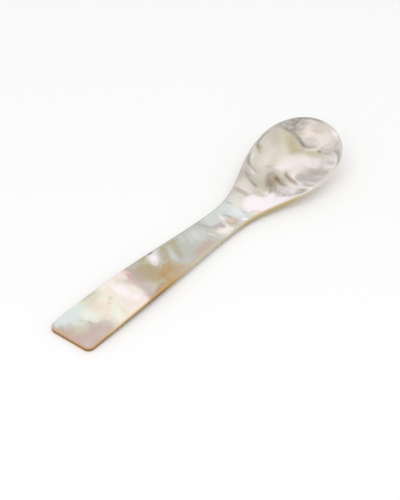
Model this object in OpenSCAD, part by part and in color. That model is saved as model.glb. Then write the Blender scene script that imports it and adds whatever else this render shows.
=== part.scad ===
// A caviar spoon carved in one piece from the shell of a pearl oyster.
// The piece keeps the shell's own two layers, grown face to face: white nacre on top,
// and the golden outer shell, which is the back and nearly all of the side wall.
// It lies as on a table, along X, with the bowl towards +X. The end of the handle and
// the belly of the bowl touch z = 0, and the origin is under the middle of its length.

/* [Outline] */
// Length from the end of the handle to the tip of the bowl
spoon_l = 120; // [105:0.5:150]
// Width of the square end of the handle
end_w = 16.2; // [12:0.1:20]
// Width that the edges of the handle bulge towards
handle_w = 16.8; // [12:0.1:22]
// Radius of the two corners of the end
corner_r = 2.1; // [1:0.1:4]
// Width of the neck
neck_w = 11; // [8:0.1:14]
// Distance from the end of the handle to the narrowest place of the neck
neck_x = 71.6; // [60:0.1:80]
// Width of the bowl
bowl_w = 29; // [24:0.1:34]
// Length of the round tip, from the widest place of the bowl
tip_l = 13.6; // [11:0.1:17]

/* [Side profile] */
// Thickness of the handle at its end
handle_t = 1.7; // [1.4:0.05:2.5]
// Thickness at the neck and at the root of the bowl
neck_t = 2; // [1.6:0.05:3]
// Thickness of the rim at the tip
lip_t = 1.25; // [1:0.05:2]
// Height of the upper face at the neck
neck_h = 2.95; // [2.4:0.05:5]
// Height that the handle gains if it kept its first slope as far as the neck
arch_h = 6.6; // [2:0.1:10]
// Height of the rim at the tip
tip_h = 12.6; // [10:0.1:16]

/* [Dish] */
// Length of the dish
dish_l = 30; // [24:0.1:36]
// Depth of the dish under the rim, at its centre
dish_d = 5; // [3.5:0.1:6]
// Width of the rim around the dish
rim_w = 0.9; // [0.6:0.05:2]
// Thickness of the floor at the centre of the dish
floor_t = 1.4; // [1:0.05:2]
// Height of the belly under the centre of the dish
belly_h = 0.95; // [0.6:0.05:2]
// Length over which the belly swells, from the neck to the centre of the dish
belly_l = 28; // [20:0.5:32]

/* [Layers] */
// Thickness of the white nacre
nacre_t = 0.45; // [0.3:0.05:0.6]
// Radius of the rubbed edges
edge_r = 0.35; // [0.1:0.05:0.5]

/* [Hidden] */

// How far along each edge the handles of its curve reach
handle_pull_shares = [0.51, 0.255];
bowl_pull_shares = [0.437, 0.4];
// A rubbed edge takes no more than this of the layer that it is cut in
edge_share = 0.8;

// Steps along the half outline
end_steps = 4;
corner_steps = 4;
handle_steps = 24;
bowl_steps = 22;
tip_steps = 18;
// Places of the rings, from the outline to the spine
edge_angles = [0, 30, 60, 90];
land_shares = [0.5];
dish_shares = [1, 0.86, 0.7, 0.52, 0.34, 0.17];
core_shares = [1, 0.75, 0.5, 0.25];
belly_shares = [0.9, 0.78, 0.64, 0.5, 0.34, 0.17];
// The rings of the dish stay this far out where a rib meets little of the dish
least_dish_share = 0.45;

wide_x = spoon_l - tip_l;
dish_x = spoon_l - rim_w - dish_l / 2;
dish_half_w = bowl_w / 2 - rim_w;
root_x = dish_x - dish_l / 2;
dish_rim_h = belly_h + floor_t + dish_d;
top_edge_r = min(edge_r, nacre_t * edge_share);

// Plain curves

function bezier(a, b, c, d, u) =
    pow(1 - u, 3) * a + 3 * pow(1 - u, 2) * u * b + 3 * (1 - u) * u * u * c + pow(u, 3) * d;

// A curve from a to b over a run of u from 0 to 1, with the given rises at its ends
function hermite(a, rise_a, b, rise_b, u) =
    (1 + 2 * u) * pow(1 - u, 2) * a + u * pow(1 - u, 2) * rise_a
    + u * u * (3 - 2 * u) * b + u * u * (u - 1) * rise_b;

function ease(u) = let(v = min(1, max(0, u))) v * v * (3 - 2 * v);

function unit(v) = v / norm(v);

// Half outline, from the middle of the end along the left edge to the tip

function end_edge() = [
    for (i = [0 : end_steps - 1]) [0, (end_w / 2 - corner_r) * i / end_steps]
];

function corner() = [
    for (i = [0 : corner_steps - 1])
        let(a = 90 * i / corner_steps)
        [corner_r * (1 - cos(a)), end_w / 2 - corner_r * (1 - sin(a))]
];

function handle_edge() = let(run = neck_x - corner_r) [
    for (i = [0 : handle_steps - 1])
        bezier([corner_r, end_w / 2],
               [corner_r + run * handle_pull_shares[0], handle_w / 2],
               [neck_x - run * handle_pull_shares[1], neck_w / 2],
               [neck_x, neck_w / 2], i / handle_steps)
];

function bowl_edge() = let(run = wide_x - neck_x) [
    for (i = [0 : bowl_steps - 1])
        bezier([neck_x, neck_w / 2],
               [neck_x + run * bowl_pull_shares[0], neck_w / 2],
               [wide_x - run * bowl_pull_shares[1], bowl_w / 2],
               [wide_x, bowl_w / 2], i / bowl_steps)
];

function tip_edge() = [
    for (i = [0 : tip_steps])
        let(a = 90 * i / tip_steps)
        [wide_x + tip_l * sin(a), i == tip_steps ? 0 : bowl_w / 2 * cos(a)]
];

edge = concat(end_edge(), corner(), handle_edge(), bowl_edge(), tip_edge());
last = len(edge) - 1;
loop_n = 2 * last;

function inward(i) =
    i == 0 ? [1, 0]
    : i == last ? [-1, 0]
    : let(t = unit(edge[i + 1] - edge[i - 1])) [t.y, -t.x];

// Ribs run from the outline to a spine on the middle line. They are square to it along
// the handle, and fan out from its two ends round the square end and round the dish.

first_rib = min([for (i = [0 : last]) if (edge[i].x >= end_w / 4) i]);
last_rib = max([for (i = [0 : last]) if (edge[i].x < dish_x - tip_l / tip_steps) i]);
spine_x = concat([for (i = [first_rib : last_rib]) edge[i].x], [dish_x]);

function spine_place(i) = max(0, min(i, last_rib + 1) - first_rib);
function spine_point(i) = [spine_x[spine_place(i)], 0];

// Side profile

function rim_h(x) =
    let(
        to_dish = dish_x - neck_x,
        to_tip = spoon_l - dish_x,
        slope_1 = (dish_rim_h - neck_h) / to_dish,
        slope_2 = (tip_h - dish_rim_h) / to_tip,
        slope = (slope_1 * to_tip + slope_2 * to_dish) / (to_dish + to_tip)
    )
    x < neck_x ? hermite(handle_t, arch_h, neck_h, 0, x / neck_x)
    : x < dish_x ? hermite(neck_h, 0, dish_rim_h, slope * to_dish, (x - neck_x) / to_dish)
    : hermite(dish_rim_h, slope * to_tip, tip_h, (2 * slope_2 - slope) * to_tip,
              (x - dish_x) / to_tip);

function wall_t(x) =
    x < neck_x ? handle_t + (neck_t - handle_t) * ease(x / neck_x)
    : neck_t + (lip_t - neck_t) * ease((x - root_x) / (spoon_l - root_x));

// Share of a rib, from the spine, at which it crosses the edge of the dish
function dish_share(from, to, rim) =
    let(
        p = [(from.x - dish_x) / (dish_l / 2), 0],
        q = [(to.x - dish_x) / (dish_l / 2), to.y / dish_half_w] - p,
        b = p * q,
        c = p * p - 1
    )
    c >= 0 ? 0 : min((sqrt(b * b - (q * q) * c) - b) / (q * q), 1 - rim / norm(to - from));

function mesh_share(from, to, rim) = max(least_dish_share, dish_share(from, to, rim));

// Depth of the dish under the rim, on a rib at a share of the way from the spine
function dish_depth(from, to, rim, s) =
    let(
        reach = dish_share(from, to, rim),
        along = (from.x - dish_x) / (dish_l / 2)
    )
    s >= reach ? 0 : dish_d * (1 - along * along) * (1 - pow(s / reach, 2));

function belly_depth(x) =
    (dish_d + floor_t - wall_t(dish_x)) * ease((x - dish_x + belly_l) / belly_l);

// Points of the surfaces, on rib i at a share of the way from the spine. Where the
// belly would go under the table it is ground flat.

function top_point(i, s) =
    let(
        from = spine_point(i),
        to = edge[i] + top_edge_r * inward(i),
        p = from + s * (to - from)
    )
    [p.x, p.y, rim_h(p.x) - dish_depth(from, to, rim_w - top_edge_r, s)];

function core_point(i, s) =
    let(
        from = spine_point(i),
        to = edge[i],
        p = from + s * (to - from)
    )
    [p.x, p.y, rim_h(p.x) - dish_depth(from, to, rim_w, s) - nacre_t];

function belly_point(i, s) =
    let(
        from = spine_point(i),
        to = edge[i] + edge_r * inward(i),
        p = from + s * (to - from)
    )
    [p.x, p.y, max(0, rim_h(p.x) - wall_t(p.x) - belly_depth(from.x) * (1 - s * s))];

function top_edge_point(i, a) =
    let(p = edge[i] + top_edge_r * (1 - cos(a)) * inward(i))
    [p.x, p.y, rim_h(p.x) - top_edge_r * (1 - sin(a))];

function belly_edge_point(i, a) =
    let(
        p = edge[i] + edge_r * (1 - cos(a)) * inward(i),
        z = rim_h(p.x) - wall_t(p.x)
    )
    [p.x, p.y, max(0, z) + edge_r * (1 - sin(a))];

function top_mesh_share(i) =
    mesh_share(spine_point(i), edge[i] + top_edge_r * inward(i), rim_w - top_edge_r);

function core_mesh_share(i) = mesh_share(spine_point(i), edge[i], rim_w);

// Each sheet is a list of half rings from the outline inwards, then the spine

function half_ring_seam() = [for (i = [0 : last]) core_point(i, 1)];

function top_sheet() = concat(
    [half_ring_seam()],
    [for (a = edge_angles) [for (i = [0 : last]) top_edge_point(i, a)]],
    [for (g = land_shares) [
        for (i = [0 : last]) let(m = top_mesh_share(i)) top_point(i, m + (1 - m) * g)
    ]],
    [for (g = dish_shares) [for (i = [0 : last]) top_point(i, top_mesh_share(i) * g)]],
    [[for (i = [first_rib : last_rib + 1]) top_point(i, 0)]]
);

function core_sheet() = concat(
    [half_ring_seam()],
    [for (g = core_shares) [for (i = [0 : last]) core_point(i, core_mesh_share(i) * g)]],
    [[for (i = [first_rib : last_rib + 1]) core_point(i, 0)]]
);

function belly_sheet() = concat(
    [half_ring_seam()],
    [for (a = edge_angles) [for (i = [0 : last]) belly_edge_point(i, a)]],
    [for (s = belly_shares) [for (i = [0 : last]) belly_point(i, s)]],
    [[for (i = [first_rib : last_rib + 1]) belly_point(i, 0)]]
);

// A half ring is closed by its mirror image across the middle line
function whole_ring(half) = concat(
    half,
    [for (i = [last - 1 : -1 : 1]) [half[i].x, -half[i].y, half[i].z]]
);

function sheet_points(sheet) = [
    for (r = [1 : len(sheet) - 1])
        each r == len(sheet) - 1 ? sheet[r] : whole_ring(sheet[r])
];

function half_place(k) = let(m = k % loop_n) m <= last ? m : loop_n - m;

// Triangles of a sheet, whose seam ring holds the first points of the solid and whose
// other points start at start
function sheet_faces(sheet, start, up) =
    let(
        rings = len(sheet) - 1,
        spine = start + (rings - 1) * loop_n
    )
    [
        for (r = [0 : rings - 1], k = [0 : loop_n - 1])
            let(
                outer = r == 0 ? 0 : start + (r - 1) * loop_n,
                inner = start + r * loop_n,
                next = (k + 1) % loop_n,
                a = outer + k,
                b = outer + next,
                closing = r == rings - 1,
                c = closing ? spine + spine_place(half_place(next)) : inner + next,
                d = closing ? spine + spine_place(half_place(k)) : inner + k
            )
            each c == d ? [up ? [a, b, c] : [c, b, a]]
                : up ? [[a, b, c], [a, c, d]]
                : [[c, b, a], [d, c, a]]
    ];

// A solid between two sheets that share the seam ring
module between(upper, lower) {
    seam = whole_ring(upper[0]);
    upper_points = sheet_points(upper);
    translate([-spoon_l / 2, 0, 0])
        polyhedron(
            points = concat(seam, upper_points, sheet_points(lower)),
            faces = concat(
                sheet_faces(upper, loop_n, true),
                sheet_faces(lower, loop_n + len(upper_points), false)
            )
        );
}

module white_nacre() {
    color("#ece4df") between(top_sheet(), core_sheet());
}

module golden_shell() {
    color("#c9a878") between(core_sheet(), belly_sheet());
}

white_nacre();
golden_shell();
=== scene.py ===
"""A caviar spoon carved from the shell of a pearl oyster, on a plain stage.

The spoon is one carved piece that keeps the shell's two grown layers: white nacre on
top, golden outer shell below. Lengths are in metres unless a name or comment says mm.
"""

import math
from types import SimpleNamespace

import bpy
import numpy as np
from bpy.props import FloatProperty, FloatVectorProperty, PointerProperty
from bpy.types import Operator, Panel, PropertyGroup
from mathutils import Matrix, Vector


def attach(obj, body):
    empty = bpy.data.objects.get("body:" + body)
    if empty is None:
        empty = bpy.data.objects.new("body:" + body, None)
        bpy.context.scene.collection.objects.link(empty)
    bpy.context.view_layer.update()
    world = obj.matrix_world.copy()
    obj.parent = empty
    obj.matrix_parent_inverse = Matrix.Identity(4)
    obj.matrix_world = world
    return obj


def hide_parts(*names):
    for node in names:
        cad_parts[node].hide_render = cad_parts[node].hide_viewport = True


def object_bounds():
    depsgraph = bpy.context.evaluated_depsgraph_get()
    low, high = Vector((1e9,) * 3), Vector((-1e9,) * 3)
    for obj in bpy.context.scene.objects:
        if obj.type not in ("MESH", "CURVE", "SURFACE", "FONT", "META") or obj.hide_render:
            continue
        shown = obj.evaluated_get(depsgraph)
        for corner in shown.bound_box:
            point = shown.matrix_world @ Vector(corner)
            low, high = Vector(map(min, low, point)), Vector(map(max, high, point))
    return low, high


bl_info = {
    "name": "Carved Shell Spoon",
    "version": (1, 0, 0),
    "blender": (4, 5, 0),
    "location": "View3D > Sidebar > Shell Spoon",
    "description": "Builds a carved pearl oyster spoon over its packed model",
    "category": "Add Mesh",
}

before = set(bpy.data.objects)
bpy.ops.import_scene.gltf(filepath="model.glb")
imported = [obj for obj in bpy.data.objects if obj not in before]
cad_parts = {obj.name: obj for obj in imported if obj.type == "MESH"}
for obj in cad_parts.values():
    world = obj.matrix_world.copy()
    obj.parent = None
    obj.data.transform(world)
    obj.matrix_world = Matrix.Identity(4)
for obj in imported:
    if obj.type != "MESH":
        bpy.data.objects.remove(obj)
CAD_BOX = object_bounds()
BODY = "root"
MM = 0.001

# Steps along the half outline, close enough that no facet shows in a polished surface
END_STEPS = 14
CORNER_STEPS = 18
HANDLE_STEPS = 150
BOWL_STEPS = 130
TIP_STEPS = 100
# Rings of the rubbed edge, the rim, the dish or face, and the hidden joint of the layers
EDGE_STEPS = 9
LAND_STEPS = 6
FACE_STEPS = 60
CORE_STEPS = 14
# The rings of the dish stay this far out where a rib meets little of the dish
LEAST_DISH_SHARE = 0.45
# How far from its two ends each edge's curve is pulled straight, as shares of its length
HANDLE_PULL_SHARES = (0.51, 0.255)
BOWL_PULL_SHARES = (0.437, 0.4)
# A rubbed edge takes no more than this share of the layer that it is cut in
EDGE_SHARE = 0.8
# Radius in mm that the polishing wheel leaves on the edge of the dish
CREASE_SOFT = 0.10
# The spine that the ribs run to starts at this share of the end's width
SPINE_START_SHARE = 0.25
# A dish that takes less than this share of a rib counts as taking this much, because a
# point's place on the rib is divided by it
LEAST_REACH = 1e-6
# Relief starts this many mm inside the outline, and is whole this many mm further in
RELIEF_START = 0.1
RELIEF_FADE = 0.9
# Edges sharper than this many degrees stay sharp under the smooth shading
SHARP_ANGLE = 50

# Waves of the hand polish: each one's share of the height, the radians that it turns in a
# mm along and across the spoon, and the radians that it starts at
POLISH_WAVES = ((1.0, 0.55, 0.35, 0.0), (0.7, 0.31, -0.62, 1.3), (0.5, 0.2, 0.9, 0.4))
# The growth line is a groove beside a low step. Reach of the groove, height of the step
# as a share of the groove's depth, the run that it rises over and its reach, in mm
GROOVE_REACH = 0.38
STEP_SHARE = 0.5
STEP_RUN = 0.8
STEP_REACH = 2.4
# Half width in mm at which the growth line's grey is painted
GROWTH_LINE_HALF = 0.42
# Place and half sizes in mm of the chip in the far edge
CHIP_PLACE = (43.5, 6.75)
CHIP_HALVES = (1.1, 0.45)
# Where the shell's hinge was, in mm from the end of the handle and the middle line
HINGE = (-38.0, -24.0, 0.0)
# Growth rings of the back: the radians that the coarse and the fine ones turn in a mm,
# height of the fine ones beside the coarse, and how many radians they wander by and the
# radians that this turns in a mm across the spoon
COARSE_RINGS = 1.9
FINE_RINGS = 4.3
FINE_SHARE = 0.6
WANDER = 0.8
WANDER_TURN = 0.3


def linear(hex_colour):
    """The linear colour of an sRGB hex value, as red, green and blue."""
    channels = [int(hex_colour[i:i + 2], 16) / 255 for i in (1, 3, 5)]
    return tuple(c / 12.92 if c <= 0.04045 else ((c + 0.055) / 1.055) ** 2.4
                 for c in channels)


def length(name, description, mm):
    """A length that a user may change, given in millimetres."""
    return FloatProperty(name=name, description=description, default=mm * MM, min=0.0,
                         precision=5, subtype="DISTANCE", unit="LENGTH")


def colour(name, description, hex_colour):
    """A colour that a user may change, given as an sRGB hex value."""
    return FloatVectorProperty(name=name, description=description, size=3, min=0.0, max=1.0,
                               default=linear(hex_colour), subtype="COLOR")


class SpoonShape(PropertyGroup):
    """Sizes of the carved spoon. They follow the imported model's own sizes."""

    spoon_l: FloatProperty(
        name="Length", description="From the end of the handle to the tip of the bowl",
        default=CAD_BOX[1].x - CAD_BOX[0].x, subtype="DISTANCE", unit="LENGTH", precision=5)
    bowl_w: FloatProperty(
        name="Bowl width", description="Across the widest place of the bowl",
        default=CAD_BOX[1].y - CAD_BOX[0].y, subtype="DISTANCE", unit="LENGTH", precision=5)
    end_w: length("End width", "Width of the square end of the handle", 16.2)
    handle_w: length("Handle width", "Width that the edges of the handle bulge towards", 16.8)
    corner_r: length("Corner radius", "Radius of the two corners of the end", 2.1)
    neck_w: length("Neck width", "Width of the neck", 11)
    neck_x: length("Neck place", "From the end of the handle to the narrowest place", 71.6)
    tip_l: length("Tip length", "Round tip, from the widest place of the bowl", 13.6)
    handle_t: length("Handle thickness", "Thickness of the handle at its end", 1.7)
    neck_t: length("Neck thickness", "Thickness at the neck and the root of the bowl", 2)
    lip_t: length("Lip thickness", "Thickness of the rim at the tip", 1.25)
    neck_h: length("Neck height", "Height of the upper face at the neck", 2.95)
    arch_h: length("Arch", "Height that the handle would gain if it kept its first slope", 6.6)
    tip_h: length("Tip height", "Height of the rim at the tip", 12.6)
    dish_l: length("Dish length", "Length of the dish", 30)
    dish_d: length("Dish depth", "Depth of the dish under the rim, at its centre", 5)
    rim_w: length("Rim width", "Width of the rim around the dish", 0.9)
    floor_t: length("Floor thickness", "Thickness of the floor of the dish", 1.4)
    belly_h: length("Belly height", "Height of the belly under the centre of the dish", 0.95)
    belly_l: length("Belly length", "Length over which the belly swells", 28)
    nacre_t: length("Nacre thickness", "Thickness of the white nacre", 0.45)
    edge_r: length("Edge radius", "Radius of the rubbed edges", 0.35)
    polish_wave: length("Polish wave", "Height of the waves that hand polishing leaves", 0.02)
    ridge_d: length("Ridge depth", "Depth of the growth line across the dish", 0.09)
    chip_d: length("Chip depth", "Depth of the small chip in the far edge", 0.28)
    growth_d: length("Growth relief", "Relief of the growth lines on the back", 0.025)


class NacreColours(PropertyGroup):
    """Colours of the polished white nacre."""

    # Pearl is also laid as painted light: a sheen over the root of the bowl, and a highlight
    # along the crease of the near rim
    pearl: colour("Pearl", "Near-white glow at the root of the bowl", "#fef6fa")
    # Cream is also laid as a painted highlight along the lower edge of the growth line in the
    # dish
    cream: colour("Cream", "Warm glow on the handle", "#f3ecdb")
    blush: colour("Blush", "Pale pink glow", "#f3e5e0")
    peach: colour("Peach", "Pale orange tint", "#efdccd")
    mint: colour("Mint", "Pale yellow-green glow", "#edf1e1")
    sage: colour("Sage", "Greyed green cloud", "#d9d8c2")
    ice: colour("Ice", "Pale blue-green tint", "#dfebeb")
    # Frost is also laid as a painted glint by the near rim
    frost: colour("Frost", "Pale lilac-blue tint", "#e2e5ee")
    lilac: colour("Lilac", "Pale grey lilac", "#cbc1c1")
    rose: colour("Rose", "Pink line between the clouds", "#d2a8a2")
    rose_tan: colour("Rose tan", "Pinkish tan of the end", "#c8b0a8")
    mauve: colour("Mauve", "Brownish mauve streaks", "#b9a9a6")
    silver: colour("Silver", "Grey-green body of the neck", "#bdc0b7")
    sheen: colour("Sheen", "Lighter silver streaks", "#d2d6d2")
    khaki: colour("Khaki", "Khaki patches", "#b0a07c")
    olive: colour("Olive", "Olive spots", "#b1a67c")
    ochre: colour("Ochre", "Golden brown where the outer shell shows through", "#b8995f")
    rust: colour("Rust", "Orange-brown spot", "#b58657")
    tan: colour("Tan", "Tan along the near edge", "#c8ae92")
    beige: colour("Beige", "Beige body of the dish", "#d5cdc3")
    stone: colour("Stone", "Warm grey smears", "#aea59b")
    smoke: colour("Smoke", "Dark grey flecks and growth lines", "#7f786e")
    umber: colour("Umber", "Brown core of the smudge in the dish", "#7f6848")
    # Painted shade: the grey line where the rounded far edge turns away
    edge: colour("Edge", "Grey line along the far edge", "#a9a7a3")


class ShellColours(PropertyGroup):
    """Colours of the polished golden outer shell."""

    clay: colour("Clay", "Top of the wall at the end of the handle", "#cda680")
    wheat: colour("Wheat", "Pale stretch of the handle's wall", "#e2cfab")
    honey: colour("Honey", "Honey layers", "#e6c39a")
    bronze: colour("Bronze", "Darker stretch by the pink line", "#c69a6a")
    amber: colour("Amber", "Golden stretch by the khaki patch", "#c5a058")
    oak: colour("Oak", "Tan between the khaki patch and the neck", "#cbb084")
    fawn: colour("Fawn", "Greyed tan of the neck", "#d6c9b0")
    moss: colour("Moss", "Warm tan stretch under the bowl", "#dcc6a4")
    bone: colour("Bone", "Pale layers round the bowl", "#ebe6da")
    bark: colour("Bark", "Dark foot of the handle's wall", "#9a6402")
    umber: colour("Umber", "Olive brown foot of the handle's wall", "#a07c1c")
    brass: colour("Brass", "Foot of the wall by the khaki patch", "#b28e2c")
    sand: colour("Sand", "Foot of the wall at the neck", "#cdc2aa")
    khaki: colour("Khaki", "Greenish brown foot of the wall by the bowl", "#c2b27a")
    rose: colour("Rose", "Rosy sheen of the ground back", "#d9b7a4")
    sage: colour("Sage", "Green sheen of the ground back", "#b9bd92")


class StageLook(PropertyGroup):
    """The floor, the light and the camera."""

    floor: colour("Floor", "Plain pale floor", "#f2f2f2")
    backdrop: colour("Backdrop", "Background that the camera sees", "#ffffff")
    lens: FloatProperty(name="Lens", description="Focal length of the camera", default=211.98,
                        min=1.0, subtype="DISTANCE_CAMERA", unit="CAMERA")
    elevation: FloatProperty(name="Elevation", description="Camera's angle above the table",
                             default=math.radians(39.556), subtype="ANGLE", unit="ROTATION")
    azimuth: FloatProperty(name="Azimuth", description="Camera's turn from the spoon's side",
                           default=math.radians(-49.505), subtype="ANGLE", unit="ROTATION")
    distance: length("Distance", "From the camera to the point that it looks at", 900)
    lamp_size: length("Lamp size", "Width of the square soft lamp", 900)
    lamp_height: length("Lamp height", "Height of the lamp over the table", 800)
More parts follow.
